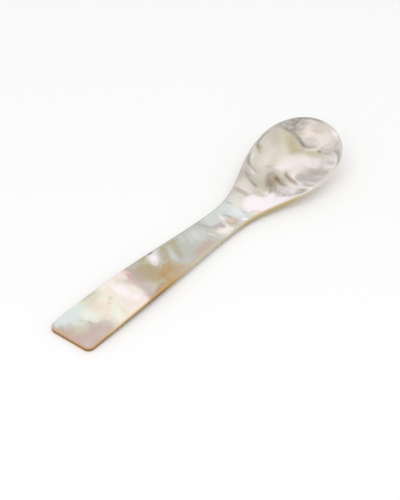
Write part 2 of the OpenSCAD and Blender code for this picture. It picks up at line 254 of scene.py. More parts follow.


# Clouds and flecks of the nacre, among them a painted sheen at the root of the bowl and a
# painted glint by the near rim, in the order in which they are laid. Each is a soft
# oval: its colour, strength, centre from the end of the handle and from the middle line
# in mm, half sizes in mm, turn in degrees and softness of its edge from 0 to 1. Some have
# the name of a grain that breaks them up, or "still" where the edge isn't feathered.
NACRE_CLOUDS = (
    # the square end: a pinkish wedge, cool glow on the far side, flecks between
    ("rose_tan", 0.9, 4.6, -5.0, 8.6, 6.0, -16, 0.5),
    ("silver", 0.5, 5.4, 1.0, 2.6, 2.8, 0, 0.8),
    ("ice", 0.95, 6.8, 5.6, 6.4, 2.8, -4, 0.7),
    ("sage", 0.7, 5.4, 0.6, 2.6, 2.6, -20, 0.9),
    ("frost", 0.75, 3.2, 7.0, 2.2, 1.2, 8, 0.8),
    ("frost", 0.8, 8.2, 4.7, 1.8, 0.7, 5, 0.8),
    ("mint", 1.0, 10.8, 2.2, 2.2, 2.8, 15, 0.6),
    ("pearl", 0.6, 10.9, 2.4, 1.2, 1.6, 15, 0.8),
    ("ice", 0.8, 6.0, 2.8, 1.3, 0.9, 10, 0.8),
    ("mint", 0.8, 10.6, -0.8, 1.6, 1.4, -35, 0.8),
    ("tan", 0.85, 0.7, 3.2, 0.9, 2.6, 0, 0.8),
    ("rose", 0.45, 2.4, 0.9, 1.3, 0.9, 20, 0.8),
    ("rose", 0.5, 0.5, -3.6, 0.9, 0.7, 0, 0.8),
    ("stone", 0.6, 8.7, -0.8, 0.4, 1.5, 8, 0.8),
    ("mauve", 0.45, 7.4, -4.0, 2.0, 1.6, -15, 0.9),
    ("lilac", 0.7, 11.4, -4.4, 1.4, 1.5, -30, 0.8),
    ("lilac", 0.5, 1.4, -6.0, 1.3, 0.9, 0, 0.9),
    ("olive", 0.4, 4.2, -7.2, 1.6, 0.5, -5, 0.8, "grain"),
    ("olive", 0.55, 11.4, -6.8, 2.4, 0.9, 35, 0.8, "grain"),
    ("frost", 0.6, 12.6, -6.2, 1.6, 1.0, 40, 0.8, "grain"),
    # the cream stretch
    ("sage", 0.85, 16.6, 5.8, 3.6, 2.2, 0, 0.8),
    ("stone", 0.4, 17.0, 7.3, 4.0, 0.45, -2, 0.8, "still"),
    ("peach", 0.8, 15.5, 2.2, 1.9, 1.9, 30, 0.9),
    ("peach", 0.55, 17.0, -0.4, 2.4, 0.9, 42, 0.8),
    ("mint", 0.8, 17.4, -2.6, 4.2, 0.9, 44, 0.8),
    ("peach", 0.6, 14.0, -3.4, 0.9, 2.2, 5, 0.8),
    ("pearl", 0.5, 16.4, -5.0, 3.0, 0.4, 50, 0.8),
    ("sage", 0.4, 18.6, -5.8, 0.9, 1.7, -10, 0.9),
    ("cream", 0.7, 19.0, 3.6, 1.4, 1.4, 40, 0.8),
    ("blush", 0.9, 22.8, -4.2, 2.8, 3.6, 5, 0.8),
    ("blush", 0.7, 22.0, 3.4, 1.4, 2.6, -14, 0.8),
    ("pearl", 0.9, 24.8, 1.6, 1.6, 4.2, -6, 0.8),
    ("pearl", 0.8, 25.8, -3.8, 1.6, 1.2, 20, 0.8),
    ("cream", 0.6, 27.4, -1.0, 0.9, 2.4, -20, 0.8),
    ("stone", 0.4, 20.2, 1.7, 0.9, 0.6, 30, 0.9, "still"),
    ("mauve", 0.4, 18.5, 0.6, 0.6, 0.45, -30, 0.9, "still"),
    ("sage", 0.6, 27.9, 4.8, 2.2, 1.2, 10, 0.9),
    ("stone", 0.5, 29.2, 3.1, 1.4, 0.9, 35, 0.9),
    ("rose_tan", 0.5, 29.3, 1.5, 0.8, 1.3, -20, 0.9),
    ("blush", 0.8, 28.6, -3.4, 0.7, 1.4, 10, 0.9),
    ("blush", 0.7, 30.2, 4.8, 0.6, 1.2, 0, 0.9),
    # the pink line, and the khaki patch beyond it
    ("mauve", 0.6, 32.5, 1.6, 1.2, 4.0, -14, 0.9),
    ("rose_tan", 0.7, 33.5, 6.3, 0.9, 0.9, -20, 0.9),
    ("mauve", 0.4, 33.4, 5.6, 0.8, 1.0, -20, 0.9),
    ("rose", 0.95, 31.5, 4.3, 0.6, 1.9, -38, 0.8),
    ("rose", 0.4, 30.4, 1.6, 0.7, 2.2, -12, 0.8),
    ("lilac", 0.8, 30.6, -4.2, 1.8, 2.4, -20, 0.7),
    ("beige", 0.6, 32.6, -3.6, 1.8, 2.2, -20, 0.9),
    ("silver", 0.95, 36.2, 6.1, 2.4, 1.2, -6, 0.8),
    ("sage", 0.5, 39.6, 4.4, 1.4, 1.4, 30, 0.8),
    ("stone", 0.4, 33.6, 3.6, 0.8, 2.0, -24, 0.8),
    ("olive", 0.6, 39.2, 5.4, 0.8, 0.6, 0, 0.8),
    ("olive", 0.75, 35.5, -2.8, 1.5, 1.5, -20, 0.8),
    ("beige", 0.4, 32.6, -5.2, 2.2, 0.8, 24, 0.8),
    ("ochre", 0.85, 40.7, -2.9, 3.3, 2.0, 6, 0.8),
    ("rust", 0.75, 38.2, -3.1, 1.2, 1.2, 30, 0.9),
    ("khaki", 0.75, 35.9, 1.0, 2.9, 3.6, 0, 0.9),
    ("tan", 0.6, 39.4, -5.2, 4.6, 0.7, 8, 0.8),
    ("tan", 0.8, 44.8, -4.2, 1.6, 2.2, 15, 0.8),
    ("stone", 0.6, 40.0, 0.7, 1.8, 0.6, 34, 0.8),
    ("silver", 0.5, 44.1, 2.8, 1.3, 2.4, -32, 0.9),
    ("frost", 0.9, 42.7, 4.2, 3.0, 1.8, 56, 0.8),
    ("pearl", 0.95, 42.1, 3.6, 1.8, 1.1, 56, 0.8),
    ("blush", 0.7, 41.2, 1.9, 1.1, 0.7, 40, 0.8),
    ("lilac", 0.5, 40.9, 2.6, 0.6, 1.2, -20, 0.8),
    ("tan", 0.85, 38.0, -7.3, 9.4, 1.5, 3, 0.5),
    ("ochre", 0.7, 35.0, -7.1, 5.2, 0.8, 5, 0.7),
    ("ochre", 0.25, 39.6, -5.4, 4.6, 1.1, 6, 0.9),
    ("stone", 0.35, 31.2, -4.4, 1.6, 2.4, -16, 0.9),
    ("ochre", 0.95, 37.8, -5.8, 0.8, 0.6, 0, 0.8),
    ("smoke", 0.95, 43.3, 6.4, 1.3, 0.33, -5, 0.6, "still"),
    # khaki streaks, then the silver stretch
    ("mauve", 0.5, 45.8, 3.8, 0.7, 2.4, -32, 0.8),
    ("olive", 1.0, 47.6, 4.9, 0.8, 1.1, -10, 0.7),
    ("khaki", 0.75, 46.5, 2.4, 0.8, 2.8, -38, 0.9),
    ("sheen", 0.6, 47.4, 0.6, 0.8, 2.2, -25, 0.9),
    ("khaki", 0.7, 50.6, 2.3, 1.1, 3.9, -30, 0.9),
    ("tan", 0.35, 50.2, 2.2, 0.6, 2.4, -30, 0.9),
    ("stone", 0.4, 48.6, -1.2, 0.9, 2.2, -34, 0.9),
    ("lilac", 0.7, 48.5, -3.8, 1.0, 1.0, 0, 0.9),
    ("khaki", 0.55, 50.8, 5.1, 3.0, 0.7, -8, 0.8),
    ("sheen", 0.5, 55.0, 3.4, 0.8, 1.8, -30, 0.9),
    ("sheen", 0.6, 57.0, 1.8, 0.9, 2.6, -26, 0.9),
    ("frost", 0.5, 59.4, 1.8, 1.0, 2.6, -22, 0.9),
    ("sheen", 0.7, 60.6, 1.0, 2.6, 2.6, -10, 0.9),
    ("rose_tan", 0.7, 56.2, -4.2, 4.8, 1.5, 5, 0.8),
    ("tan", 0.6, 56.6, -4.4, 4.0, 1.0, 6, 0.9),
    ("tan", 0.65, 54.5, -6.3, 9.0, 0.6, 3, 0.6),
    ("lilac", 0.8, 61.6, -3.8, 1.4, 0.8, 20, 0.8),
    # flame-like flicks of the neck
    ("sheen", 0.8, 68.6, 2.8, 3.2, 2.4, 0, 0.8),
    ("silver", 0.9, 64.2, 2.4, 0.9, 3.6, 14, 0.8),
    ("sage", 0.5, 63.9, -1.4, 0.9, 1.4, -20, 0.8),
    ("cream", 1.0, 67.0, -3.7, 2.5, 1.8, -8, 0.5),
    ("pearl", 0.4, 66.8, -3.4, 2.0, 1.2, -8, 0.9),
    ("mint", 0.5, 67.6, -4.6, 1.8, 0.8, 0, 0.8),
    ("lilac", 1.0, 67.2, -0.6, 1.9, 0.95, -12, 0.5),
    ("lilac", 1.0, 67.9, -1.7, 0.9, 1.2, 10, 0.6),
    ("mauve", 0.7, 67.2, -0.7, 1.7, 0.9, -14, 0.9),
    ("mauve", 0.6, 68.6, -0.9, 0.5, 1.2, 10, 0.8),
    ("tan", 0.8, 71.6, -3.0, 1.9, 1.9, -6, 0.8),
    ("tan", 0.7, 72.9, -1.3, 0.45, 1.6, -8, 0.9),
    ("tan", 0.6, 70.5, -1.4, 0.35, 1.5, 12, 0.9),
    ("peach", 0.5, 71.9, -2.2, 0.8, 0.8, 0, 0.9),
    ("ice", 0.9, 75.8, -0.8, 2.3, 3.3, 8, 0.6),
    ("pearl", 0.45, 76.5, -0.8, 1.1, 1.8, 0, 0.8),
    ("ice", 0.5, 74.8, 3.8, 2.4, 1.4, 0, 0.8),
    ("pearl", 0.9, 75.0, -4.6, 0.9, 0.6, -40, 0.8),
    ("mint", 0.6, 79.6, 2.2, 2.8, 2.6, 10, 0.8),
    ("stone", 0.35, 77.9, 4.2, 0.4, 1.5, 10, 0.8),
    # the glow at the root of the bowl: the nacre's own near-white with a painted sheen over it
    ("pearl", 1.0, 83.3, -3.8, 5.5, 4.7, -30, 0.35),
    ("pearl", 1.0, 88.2, -7.4, 6.0, 2.9, -34, 0.4),
    ("sage", 0.8, 78.8, -4.5, 0.8, 0.8, 0, 0.8),
    ("peach", 0.9, 80.1, -5.9, 1.1, 0.6, -40, 0.8),
    ("mint", 0.6, 78.0, -4.6, 0.7, 0.8, 0, 0.9),
    ("pearl", 0.35, 85.0, 5.2, 3.6, 2.8, 0, 0.8),
    ("stone", 0.65, 84.2, 4.4, 0.8, 3.2, 0, 0.7),
    ("blush", 0.45, 85.8, 3.8, 0.5, 3.0, 0, 0.9),
    ("khaki", 0.5, 86.4, -1.4, 1.1, 2.0, 14, 0.8),
    ("blush", 0.65, 79.3, 1.0, 2.4, 1.0, -8, 0.9),
    ("sage", 0.8, 88.0, 0.7, 0.6, 0.8, 0, 0.8),
    # the dish: beige body, then its clouds from the neck to the tip
    ("beige", 1.0, 104.1, 0.0, 15.5, 14.0, 0, 0.02, "still"),
    ("lilac", 0.35, 99.0, -9.2, 10.0, 5.2, -4, 0.6, "still"),
    ("sheen", 0.35, 98.5, -9.4, 8.5, 4.2, -4, 0.6, "still"),
    ("pearl", 0.4, 95.8, -5.4, 4.4, 3.0, -10, 0.8),
    ("blush", 0.6, 100.0, 8.6, 3.0, 1.8, 6, 0.8),
    ("stone", 0.7, 91.3, 7.9, 1.1, 1.9, -34, 0.8),
    ("sheen", 0.6, 110.4, -10.8, 4.4, 2.6, 30, 0.8),
    ("sage", 0.7, 90.6, 2.4, 2.2, 3.2, -20, 0.9),
    ("stone", 0.35, 90.6, 3.4, 1.6, 3.8, -24, 0.9),
    ("blush", 0.5, 92.6, 8.6, 2.2, 0.4, 46, 0.9),
    ("blush", 0.6, 94.0, 8.0, 1.4, 0.4, 50, 0.8),
    ("sage", 0.5, 96.2, 10.0, 1.2, 0.8, 20, 0.9),
    ("sheen", 0.9, 98.2, 11.3, 1.9, 0.8, 18, 0.9),
    ("pearl", 0.5, 98.4, 11.6, 1.2, 0.4, 18, 0.9),
    ("sage", 0.7, 102.0, 11.6, 1.9, 1.1, 20, 0.9),
    ("olive", 0.6, 102.8, 12.2, 0.9, 0.9, 30, 0.9),
    ("silver", 0.8, 100.5, 6.1, 1.5, 0.6, -42, 0.9),
    ("blush", 0.4, 104.6, 9.6, 2.8, 2.2, 10, 0.9),
    ("stone", 0.3, 107.8, 10.2, 2.8, 2.0, 10, 0.9),
    ("cream", 0.6, 104.6, 4.4, 3.0, 2.2, -20, 0.8),
    ("blush", 0.6, 106.0, 1.2, 3.4, 3.4, 0, 0.8),
    ("pearl", 0.45, 106.2, -0.2, 3.8, 3.2, -20, 0.8),
    ("pearl", 0.5, 103.4, 2.6, 2.0, 1.8, -40, 0.9),
    ("pearl", 0.55, 109.0, -4.2, 1.6, 4.4, 4, 0.8),
    ("khaki", 0.35, 109.6, 9.6, 2.6, 2.0, -10, 0.9),
    ("sage", 0.8, 110.6, 5.6, 2.2, 3.6, -16, 0.9),
    ("khaki", 0.85, 110.9, 6.0, 1.8, 2.9, -20, 0.9),
    ("olive", 0.5, 110.0, 4.4, 1.4, 1.5, -20, 0.9),
    ("khaki", 0.5, 110.8, 1.6, 0.9, 2.2, 18, 0.9),
    ("sage", 0.7, 111.4, -2.6, 1.1, 3.4, 2, 0.8),
    ("khaki", 0.4, 111.5, -2.4, 0.8, 2.8, 2, 0.8),
    ("khaki", 0.35, 93.2, 0.2, 3.2, 2.0, 30, 0.9),
    ("stone", 0.6, 95.0, 1.2, 3.6, 1.9, 30, 0.8),
    ("umber", 0.3, 94.6, 1.0, 2.7, 1.3, 34, 0.9),
    ("stone", 0.8, 97.4, 3.2, 2.4, 1.5, 16, 0.9),
    ("stone", 0.8, 91.8, -2.2, 2.2, 0.8, 24, 0.8),
    ("khaki", 0.8, 97.6, 0.8, 1.7, 2.0, 0, 0.9),
    ("umber", 0.95, 97.9, 1.4, 0.8, 1.3, -30, 0.9),
    ("smoke", 0.4, 98.1, 1.6, 0.4, 0.8, -30, 0.8),
    ("rust", 0.45, 98.9, 2.4, 0.8, 0.5, 30, 0.9),
    ("rust", 0.45, 97.2, -0.2, 0.6, 0.8, 0, 0.9),
    ("stone", 0.9, 97.0, -2.3, 0.9, 1.3, -10, 0.8),
    ("stone", 0.35, 100.0, -0.8, 0.9, 1.9, -24, 0.8),
    ("tan", 0.4, 101.0, -2.0, 1.5, 2.6, -16, 0.9),
    ("stone", 0.6, 99.6, -5.0, 0.8, 1.4, -16, 0.8),
    ("pearl", 0.6, 102.8, -1.6, 1.1, 1.0, 30, 0.8),
    ("stone", 0.95, 102.5, -4.8, 1.6, 1.9, -24, 0.9),
    ("sage", 0.25, 103.0, -3.8, 1.8, 1.6, -24, 1.0),
    ("silver", 0.6, 102.3, -4.9, 1.2, 1.5, -24, 0.9),
    ("lilac", 0.5, 90.8, -4.8, 2.0, 1.3, 40, 0.8),
    ("olive", 0.5, 90.8, -7.6, 0.6, 0.7, -30, 0.8),
    ("sheen", 0.9, 94.4, -7.4, 2.8, 1.7, 26, 0.8),
    ("ice", 0.7, 94.0, -7.6, 2.4, 1.2, 26, 0.9),
    ("pearl", 0.5, 95.4, -6.4, 1.2, 1.4, -10, 0.9),
    ("pearl", 0.75, 94.3, -8.2, 2.4, 0.8, 34, 0.9),
    ("stone", 0.6, 96.3, -10.5, 0.9, 1.1, 30, 0.8),
    ("mauve", 0.4, 105.3, -8.0, 1.5, 3.4, -14, 0.8),
    ("pearl", 0.45, 107.4, -12.2, 1.6, 1.2, -10, 0.9),
    ("sheen", 0.6, 100.8, -10.6, 0.9, 2.4, -20, 0.9),
    # beyond the growth line: pinkish white, mottled grey on the far side
    ("blush", 0.5, 115.8, -1.4, 2.4, 6.4, 6, 0.6),
    ("pearl", 0.35, 115.8, -2.4, 1.8, 4.0, 6, 0.9),
    ("silver", 0.4, 114.4, 0.6, 0.8, 2.2, 6, 0.9),
    ("tan", 0.45, 117.2, 0.4, 0.5, 2.2, 4, 0.9),
    ("beige", 0.6, 117.9, 0.4, 0.7, 2.4, 0, 0.9),
    ("pearl", 0.7, 117.9, -5.8, 0.6, 1.2, -16, 0.9),
    ("stone", 0.95, 115.2, 8.8, 3.4, 1.9, -50, 0.8),
    ("smoke", 0.72, 115.2, 8.2, 3.6, 2.0, -48, 0.8, "tip"),
    ("smoke", 0.45, 114.2, 8.8, 0.9, 1.9, 0, 0.8, "tip"),
    ("stone", 0.5, 115.0, 5.8, 1.6, 1.2, -46, 0.8, "tip"),
    ("blush", 0.55, 116.1, 3.4, 1.2, 1.5, -10, 0.8),
    ("frost", 0.85, 114.3, 10.9, 1.6, 0.65, -42, 0.8),
    # a painted glint: the lilac-white highlight beside the growth line by the near rim
    ("frost", 0.9, 110.2, -12.3, 1.9, 0.6, 32, 0.7),
)

# Growth lines and streaks of the nacre, and strokes of painted highlight and painted shade
# along the rim and the growth line: colour, half width in mm, and points, each with
# its distance from the end of the handle and from the middle line in mm and its strength.
# Where strokes of one colour meet, the stronger one shows.
STROKES = (
    # the handle and the neck
    ("stone", 0.8, ((0.4, 5.0, 0.2), (0.5, 7.0, 0.5), (1.6, 8.2, 0.3))),
    ("stone", 0.8, ((1.8, 3.6, 0.2), (2.2, 5.0, 0.4), (3.0, 6.2, 0.15))),
    ("pearl", 0.8, ((5.2, 1.6, 0.15), (6.4, 1.0, 0.35), (7.6, 0.6, 0.2))),
    ("cream", 0.7, ((10.9, -1.8, 0.15), (12.0, -2.8, 0.4), (13.0, -3.8, 0.2))),
    ("pearl", 0.6, ((20.6, 6.9, 0.2), (22.4, 6.7, 0.5), (24.6, 6.5, 0.3))),
    ("umber", 0.3, ((28.6, -7.3, 0.1), (31.6, -6.7, 0.35), (35.0, -5.9, 0.45),
                    (38.4, -4.8, 0.2))),
    ("pearl", 0.5, ((30.8, 0.6, 0.05), (30.1, -1.0, 0.2), (29.2, -2.6, 0.1))),
    ("cream", 0.7, ((31.1, 7.2, 0.4), (32.0, 6.1, 0.5), (32.3, 5.2, 0.2))),
    ("stone", 0.8, ((33.3, 6.6, 0.5), (34.0, 5.2, 0.4), (34.2, 2.4, 0.3), (33.4, -0.9, 0.35))),
    ("cream", 0.5, ((34.4, -5.4, 0.1), (36.0, -5.0, 0.3), (37.4, -4.6, 0.1))),
    ("stone", 0.8, ((34.8, 6.3, 0.1), (36.4, 6.1, 0.4), (38.4, 5.4, 0.3), (39.6, 4.4, 0.15))),
    ("pearl", 0.5, ((40.1, -0.6, 0.1), (41.0, 0.1, 0.3), (42.2, 0.6, 0.15))),
    ("pearl", 0.6, ((40.3, 2.2, 0.2), (40.9, 3.0, 0.5), (41.6, 3.8, 0.3))),
    ("pearl", 0.5, ((40.6, 4.3, 0.1), (41.2, 5.1, 0.35), (42.3, 5.8, 0.3))),
    ("umber", 1.0, ((43.2, -2.8, 0.05), (44.2, -3.9, 0.15), (44.6, -5.0, 0.1))),
    ("pearl", 0.5, ((43.4, -0.3, 0.1), (44.1, 0.1, 0.2), (44.8, 0.6, 0.1))),
    ("pearl", 0.7, ((44.6, 4.6, 0.2), (45.1, 5.5, 0.45), (46.0, 6.1, 0.5))),
    ("mauve", 0.9, ((52.6, -4.2, 0.3), (55.0, -4.1, 0.5), (58.0, -4.0, 0.6),
                    (60.6, -3.5, 0.3))),
    ("pearl", 0.3, ((62.4, -0.8, 0.3), (62.8, -2.2, 0.6), (63.0, -3.6, 0.3))),
    ("stone", 0.5, ((63.5, 5.0, 0.5), (64.4, 2.6, 0.6), (65.4, 0.0, 0.6))),
    ("stone", 0.4, ((63.6, 0.4, 0.3), (63.8, -1.4, 0.5), (64.1, -3.2, 0.2))),
    ("stone", 0.4, ((64.4, -1.6, 0.1), (65.0, -2.8, 0.35), (65.0, -4.0, 0.2))),
    ("mauve", 0.5, ((66.0, -2.2, 0.1), (67.0, -2.1, 0.4), (68.0, -2.3, 0.2))),
    ("pearl", 0.25, ((69.1, -0.8, 0.4), (69.3, -2.0, 0.9), (69.5, -3.2, 0.4))),
    ("pearl", 0.55, ((71.6, 2.4, 0.4), (70.9, 1.0, 0.8), (70.4, -0.2, 0.6))),
    ("smoke", 0.25, ((71.9, 2.1, 0.3), (72.5, 0.8, 0.6), (73.3, -0.8, 0.4))),
    ("pearl", 0.3, ((74.4, -4.6, 0.5), (75.1, -5.0, 0.9), (76.0, -5.4, 0.5))),
    ("stone", 0.35, ((77.5, -0.8, 0.2), (77.4, -2.4, 0.6), (77.9, -4.2, 0.4))),
    ("stone", 0.3, ((78.3, 5.2, 0.3), (77.8, 4.0, 0.5), (77.9, 2.6, 0.2))),
    ("stone", 0.4, ((79.3, -4.7, 0.1), (80.0, -5.1, 0.3), (80.8, -5.5, 0.1))),
    # round the root of the bowl
    ("stone", 0.8, ((81.6, 6.0, 0.2), (83.2, 5.8, 0.5), (85.0, 6.6, 0.4))),
    ("pearl", 0.25, ((85.2, -0.6, 0.4), (85.8, -2.4, 0.7), (86.8, -3.9, 0.6),
                     (88.2, -3.8, 0.3))),
    ("stone", 0.2, ((85.6, -0.8, 0.4), (86.1, -2.2, 0.5), (86.9, -3.4, 0.4),
                    (88.2, -3.4, 0.4))),
    ("pearl", 0.6, ((86.6, -7.6, 0.3), (88.6, -8.5, 0.7), (90.3, -9.2, 0.6))),
    ("stone", 0.8, ((87.4, 7.8, 0.2), (89.8, 9.1, 0.6), (91.6, 10.0, 0.5))),
    ("smoke", 0.5, ((88.6, 1.7, 0.5), (88.9, 2.8, 0.85), (89.5, 4.6, 0.7), (90.4, 6.6, 0.4),
                    (91.9, 8.4, 0.25))),
    ("stone", 0.8, ((91.4, 7.9, 0.2), (93.0, 9.4, 0.6), (94.8, 11.0, 0.3))),
    # the far side of the dish
    ("pearl", 0.35, ((93.3, 7.8, 0.6), (93.9, 6.9, 0.5), (94.2, 6.0, 0.2))),
    ("smoke", 0.6, ((95.1, 10.5, 0.5), (95.9, 11.3, 0.65), (97.0, 12.0, 0.65),
                    (98.6, 12.7, 0.3))),
    ("stone", 0.7, ((95.4, 10.8, 0.6), (95.2, 9.2, 0.7), (94.9, 7.6, 0.4))),
    ("pearl", 0.5, ((101.4, 5.1, 0.4), (102.4, 3.9, 0.5), (103.4, 2.9, 0.3))),
    ("smoke", 0.6, ((101.6, 11.3, 0.35), (102.1, 12.1, 0.55), (102.5, 12.9, 0.8),
                    (103.2, 13.4, 0.5))),
    ("smoke", 0.3, ((102.4, 13.2, 0.5), (104.0, 13.6, 0.7), (106.4, 13.7, 0.6),
                    (109.0, 13.2, 0.3))),
    ("stone", 0.3, ((102.8, 2.2, 0.2), (103.4, 1.4, 0.35), (103.8, 0.4, 0.2))),
    ("stone", 0.9, ((106.4, 12.9, 0.2), (108.8, 12.5, 0.55), (110.8, 11.6, 0.55),
                    (112.2, 10.7, 0.2))),
    # the smudge in the dish, and the white streaks beside it
    ("smoke", 0.4, ((88.9, -3.4, 0.3), (90.4, -2.4, 0.45), (91.8, -1.2, 0.35))),
    ("pearl", 0.3, ((91.2, -2.2, 0.1), (92.3, -1.7, 0.3), (93.6, -1.4, 0.15))),
    ("smoke", 1.1, ((91.4, -1.2, 0.2), (92.8, -0.4, 0.4), (94.2, 0.6, 0.45), (95.8, 1.9, 0.3))),
    ("smoke", 0.45, ((91.4, -2.9, 0.15), (92.2, -2.5, 0.45), (93.2, -1.9, 0.2))),
    ("umber", 0.6, ((93.0, 0.2, 0.2), (94.6, 1.6, 0.4), (96.2, 2.9, 0.35))),
    ("pearl", 0.3, ((93.6, -3.4, 0.3), (92.4, -5.2, 0.6), (91.4, -6.6, 0.4))),
    ("pearl", 0.4, ((94.4, -4.5, 0.2), (93.2, -5.8, 0.8), (91.8, -7.1, 0.4))),
    ("umber", 0.5, ((95.0, 3.2, 0.2), (96.6, 4.0, 0.35), (98.2, 4.3, 0.3), (99.6, 3.9, 0.15))),
    ("pearl", 0.4, ((95.6, -2.6, 0.3), (95.2, -4.4, 0.7), (94.4, -6.2, 0.6),
                    (93.2, -8.2, 0.5))),
    ("stone", 0.6, ((95.7, -1.6, 0.3), (95.6, -3.4, 0.5), (95.2, -5.8, 0.25))),
    ("pearl", 0.7, ((95.9, -6.8, 0.5), (94.6, -7.9, 0.9), (93.2, -8.8, 0.8),
                    (92.4, -9.2, 0.2))),
    ("pearl", 0.4, ((96.8, -3.0, 0.2), (96.5, -4.4, 0.5), (96.0, -6.4, 0.3))),
    ("stone", 0.9, ((97.1, -1.2, 0.5), (97.2, -2.4, 0.7), (97.6, -3.6, 0.3))),
    ("pearl", 0.7, ((98.2, -3.8, 0.3), (97.9, -4.8, 0.8), (97.4, -6.6, 1.0), (97.5, -8.6, 0.9),
                    (97.4, -10.8, 1.0), (97.3, -12.8, 0.8))),
    ("umber", 0.75, ((98.2, 0.8, 0.6), (97.4, -0.4, 0.6), (97.1, -1.4, 0.5))),
    ("cream", 0.75, ((98.8, -1.8, 0.2), (98.4, -3.2, 0.6), (97.9, -4.8, 0.8),
                     (97.7, -6.4, 0.7))),
    ("stone", 0.45, ((99.8, -2.6, 0.15), (99.2, -4.0, 0.25), (98.9, -5.8, 0.15))),
    ("cream", 0.35, ((99.9, 1.4, 0.1), (100.2, 0.0, 0.3), (99.9, -1.6, 0.2))),
    ("smoke", 0.3, ((102.4, 1.2, 0.3), (101.8, 0.4, 0.5), (101.0, -0.6, 0.3))),
    ("umber", 0.55, ((102.5, 1.2, 0.25), (101.5, 0.5, 0.5), (100.8, -0.8, 0.7),
                     (100.4, -2.6, 0.6), (100.4, -4.2, 0.4), (100.3, -5.2, 0.1))),
    # streaks that fan out to the near side
    ("smoke", 0.3, ((89.3, -5.6, 0.3), (90.2, -7.3, 0.45), (91.6, -9.0, 0.4))),
    ("stone", 0.25, ((89.4, -5.0, 0.4), (91.4, -3.6, 0.5), (93.4, -2.6, 0.3))),
    ("stone", 0.25, ((90.2, -6.2, 0.4), (92.0, -4.8, 0.5), (93.8, -3.4, 0.3))),
    ("smoke", 0.5, ((90.7, -8.3, 0.3), (91.6, -9.0, 0.6), (92.4, -9.6, 0.6))),
    ("stone", 0.25, ((91.2, -7.0, 0.4), (93.2, -5.2, 0.5), (94.8, -3.6, 0.3))),
    ("smoke", 0.4, ((92.6, -9.4, 0.2), (93.0, -10.1, 0.6), (93.6, -10.6, 0.5))),
    ("stone", 0.25, ((92.6, -7.0, 0.3), (94.4, -5.4, 0.4), (95.6, -4.0, 0.3))),
    ("smoke", 0.5, ((93.9, -10.8, 0.4), (94.6, -11.4, 0.6), (95.4, -12.0, 0.4))),
    ("smoke", 0.65, ((95.2, -11.6, 0.5), (95.9, -10.3, 0.6), (96.7, -8.9, 0.2))),
    ("stone", 0.5, ((100.0, -7.4, 0.3), (99.2, -9.6, 0.5), (98.6, -12.4, 0.3))),
    ("pearl", 0.8, ((100.2, -6.0, 0.5), (99.0, -7.4, 0.8), (97.9, -9.2, 0.5))),
    ("pearl", 0.45, ((101.0, -8.0, 0.2), (100.3, -10.4, 0.5), (99.8, -12.8, 0.5))),
    ("mauve", 0.5, ((102.4, -6.4, 0.5), (101.9, -8.8, 0.5), (101.7, -11.0, 0.55),
                    (101.2, -12.8, 0.2))),
    ("pearl", 0.4, ((102.7, -0.7, 0.6), (102.1, -1.9, 0.8), (101.3, -3.3, 0.6),
                    (100.8, -4.7, 0.6), (99.9, -6.2, 0.8))),
    ("pearl", 0.4, ((103.9, -8.2, 0.2), (103.8, -10.4, 0.45), (103.2, -13.0, 0.35))),
    ("mauve", 0.6, ((104.7, -5.6, 0.2), (103.7, -7.4, 0.6), (103.2, -9.2, 0.5),
                    (103.0, -11.0, 0.2))),
    ("mauve", 1.0, ((106.2, -5.4, 0.1), (105.7, -6.8, 0.8), (105.1, -8.4, 0.9),
                    (104.9, -10.0, 0.2))),
    ("mauve", 0.5, ((106.5, -9.0, 0.3), (106.0, -11.0, 0.7), (105.3, -13.2, 0.4))),
    ("pearl", 0.6, ((108.2, -3.0, 0.3), (107.6, -4.6, 0.4), (107.4, -7.0, 0.2))),
    ("pearl", 0.5, ((108.6, -9.0, 0.2), (108.1, -11.0, 0.6), (107.6, -13.2, 0.6))),
    ("mauve", 0.4, ((109.6, -7.4, 0.2), (109.4, -10.2, 0.4), (109.0, -12.8, 0.3))),
    ("pearl", 0.5, ((111.2, -9.0, 0.2), (110.7, -10.8, 0.5), (110.0, -12.6, 0.6))),
    ("pearl", 0.4, ((112.4, -9.4, 0.2), (111.9, -11.0, 0.4), (111.0, -12.0, 0.3))),
    # the growth line across the dish, a painted highlight along its lower edge, and the flecks
    # beside it
    ("cream", 0.25, ((111.3, 0.9, 0.3), (111.9, -0.6, 0.6), (112.6, -2.2, 0.75),
                     (112.9, -3.3, 0.7), (113.6, -2.9, 0.5), (114.4, -2.1, 0.2))),
    ("smoke", 0.3, ((112.3, -5.2, 0.3), (112.3, -6.4, 0.55), (112.5, -8.2, 0.4))),
    ("smoke", 0.4, ((112.5, -3.6, 0.85), (112.4, -4.6, 0.7))),
    ("stone", 0.4, ((112.6, 0.6, 0.6), (113.0, -0.8, 0.6), (113.4, -2.0, 0.3))),
    ("smoke", 0.6, ((112.9, 7.9, 0.25), (113.1, 6.0, 0.75), (112.7, 4.0, 0.9),
                    (112.3, 2.4, 0.95), (112.4, 1.2, 0.4))),
    ("smoke", 0.45, ((113.3, -9.6, 0.3), (112.8, -10.9, 0.7), (111.8, -12.2, 0.85),
                     (110.6, -13.1, 0.8), (109.4, -13.75, 0.4))),
    ("stone", 0.4, ((113.6, -4.0, 0.35), (113.4, -6.6, 0.35), (113.3, -9.6, 0.4))),
    ("smoke", 0.35, ((114.2, -10.2, 0.2), (113.2, -11.4, 0.45), (112.0, -12.5, 0.5),
                     (110.6, -13.3, 0.3))),
    # short flecks beyond it
    ("pearl", 0.3, ((113.4, 9.0, 0.3), (114.2, 8.3, 0.3))),
    ("smoke", 0.22, ((113.5, 10.4, 0.5), (114.4, 9.6, 0.4))),
    ("pearl", 0.25, ((113.8, -3.5, 0.3), (114.4, -4.0, 0.3), (115.2, -5.0, 0.2))),
    ("pearl", 0.35, ((113.9, -5.0, 0.2), (114.2, -6.3, 0.35), (114.8, -7.6, 0.35))),
    ("smoke", 0.3, ((113.9, 7.6, 0.5), (114.9, 6.4, 0.3))),
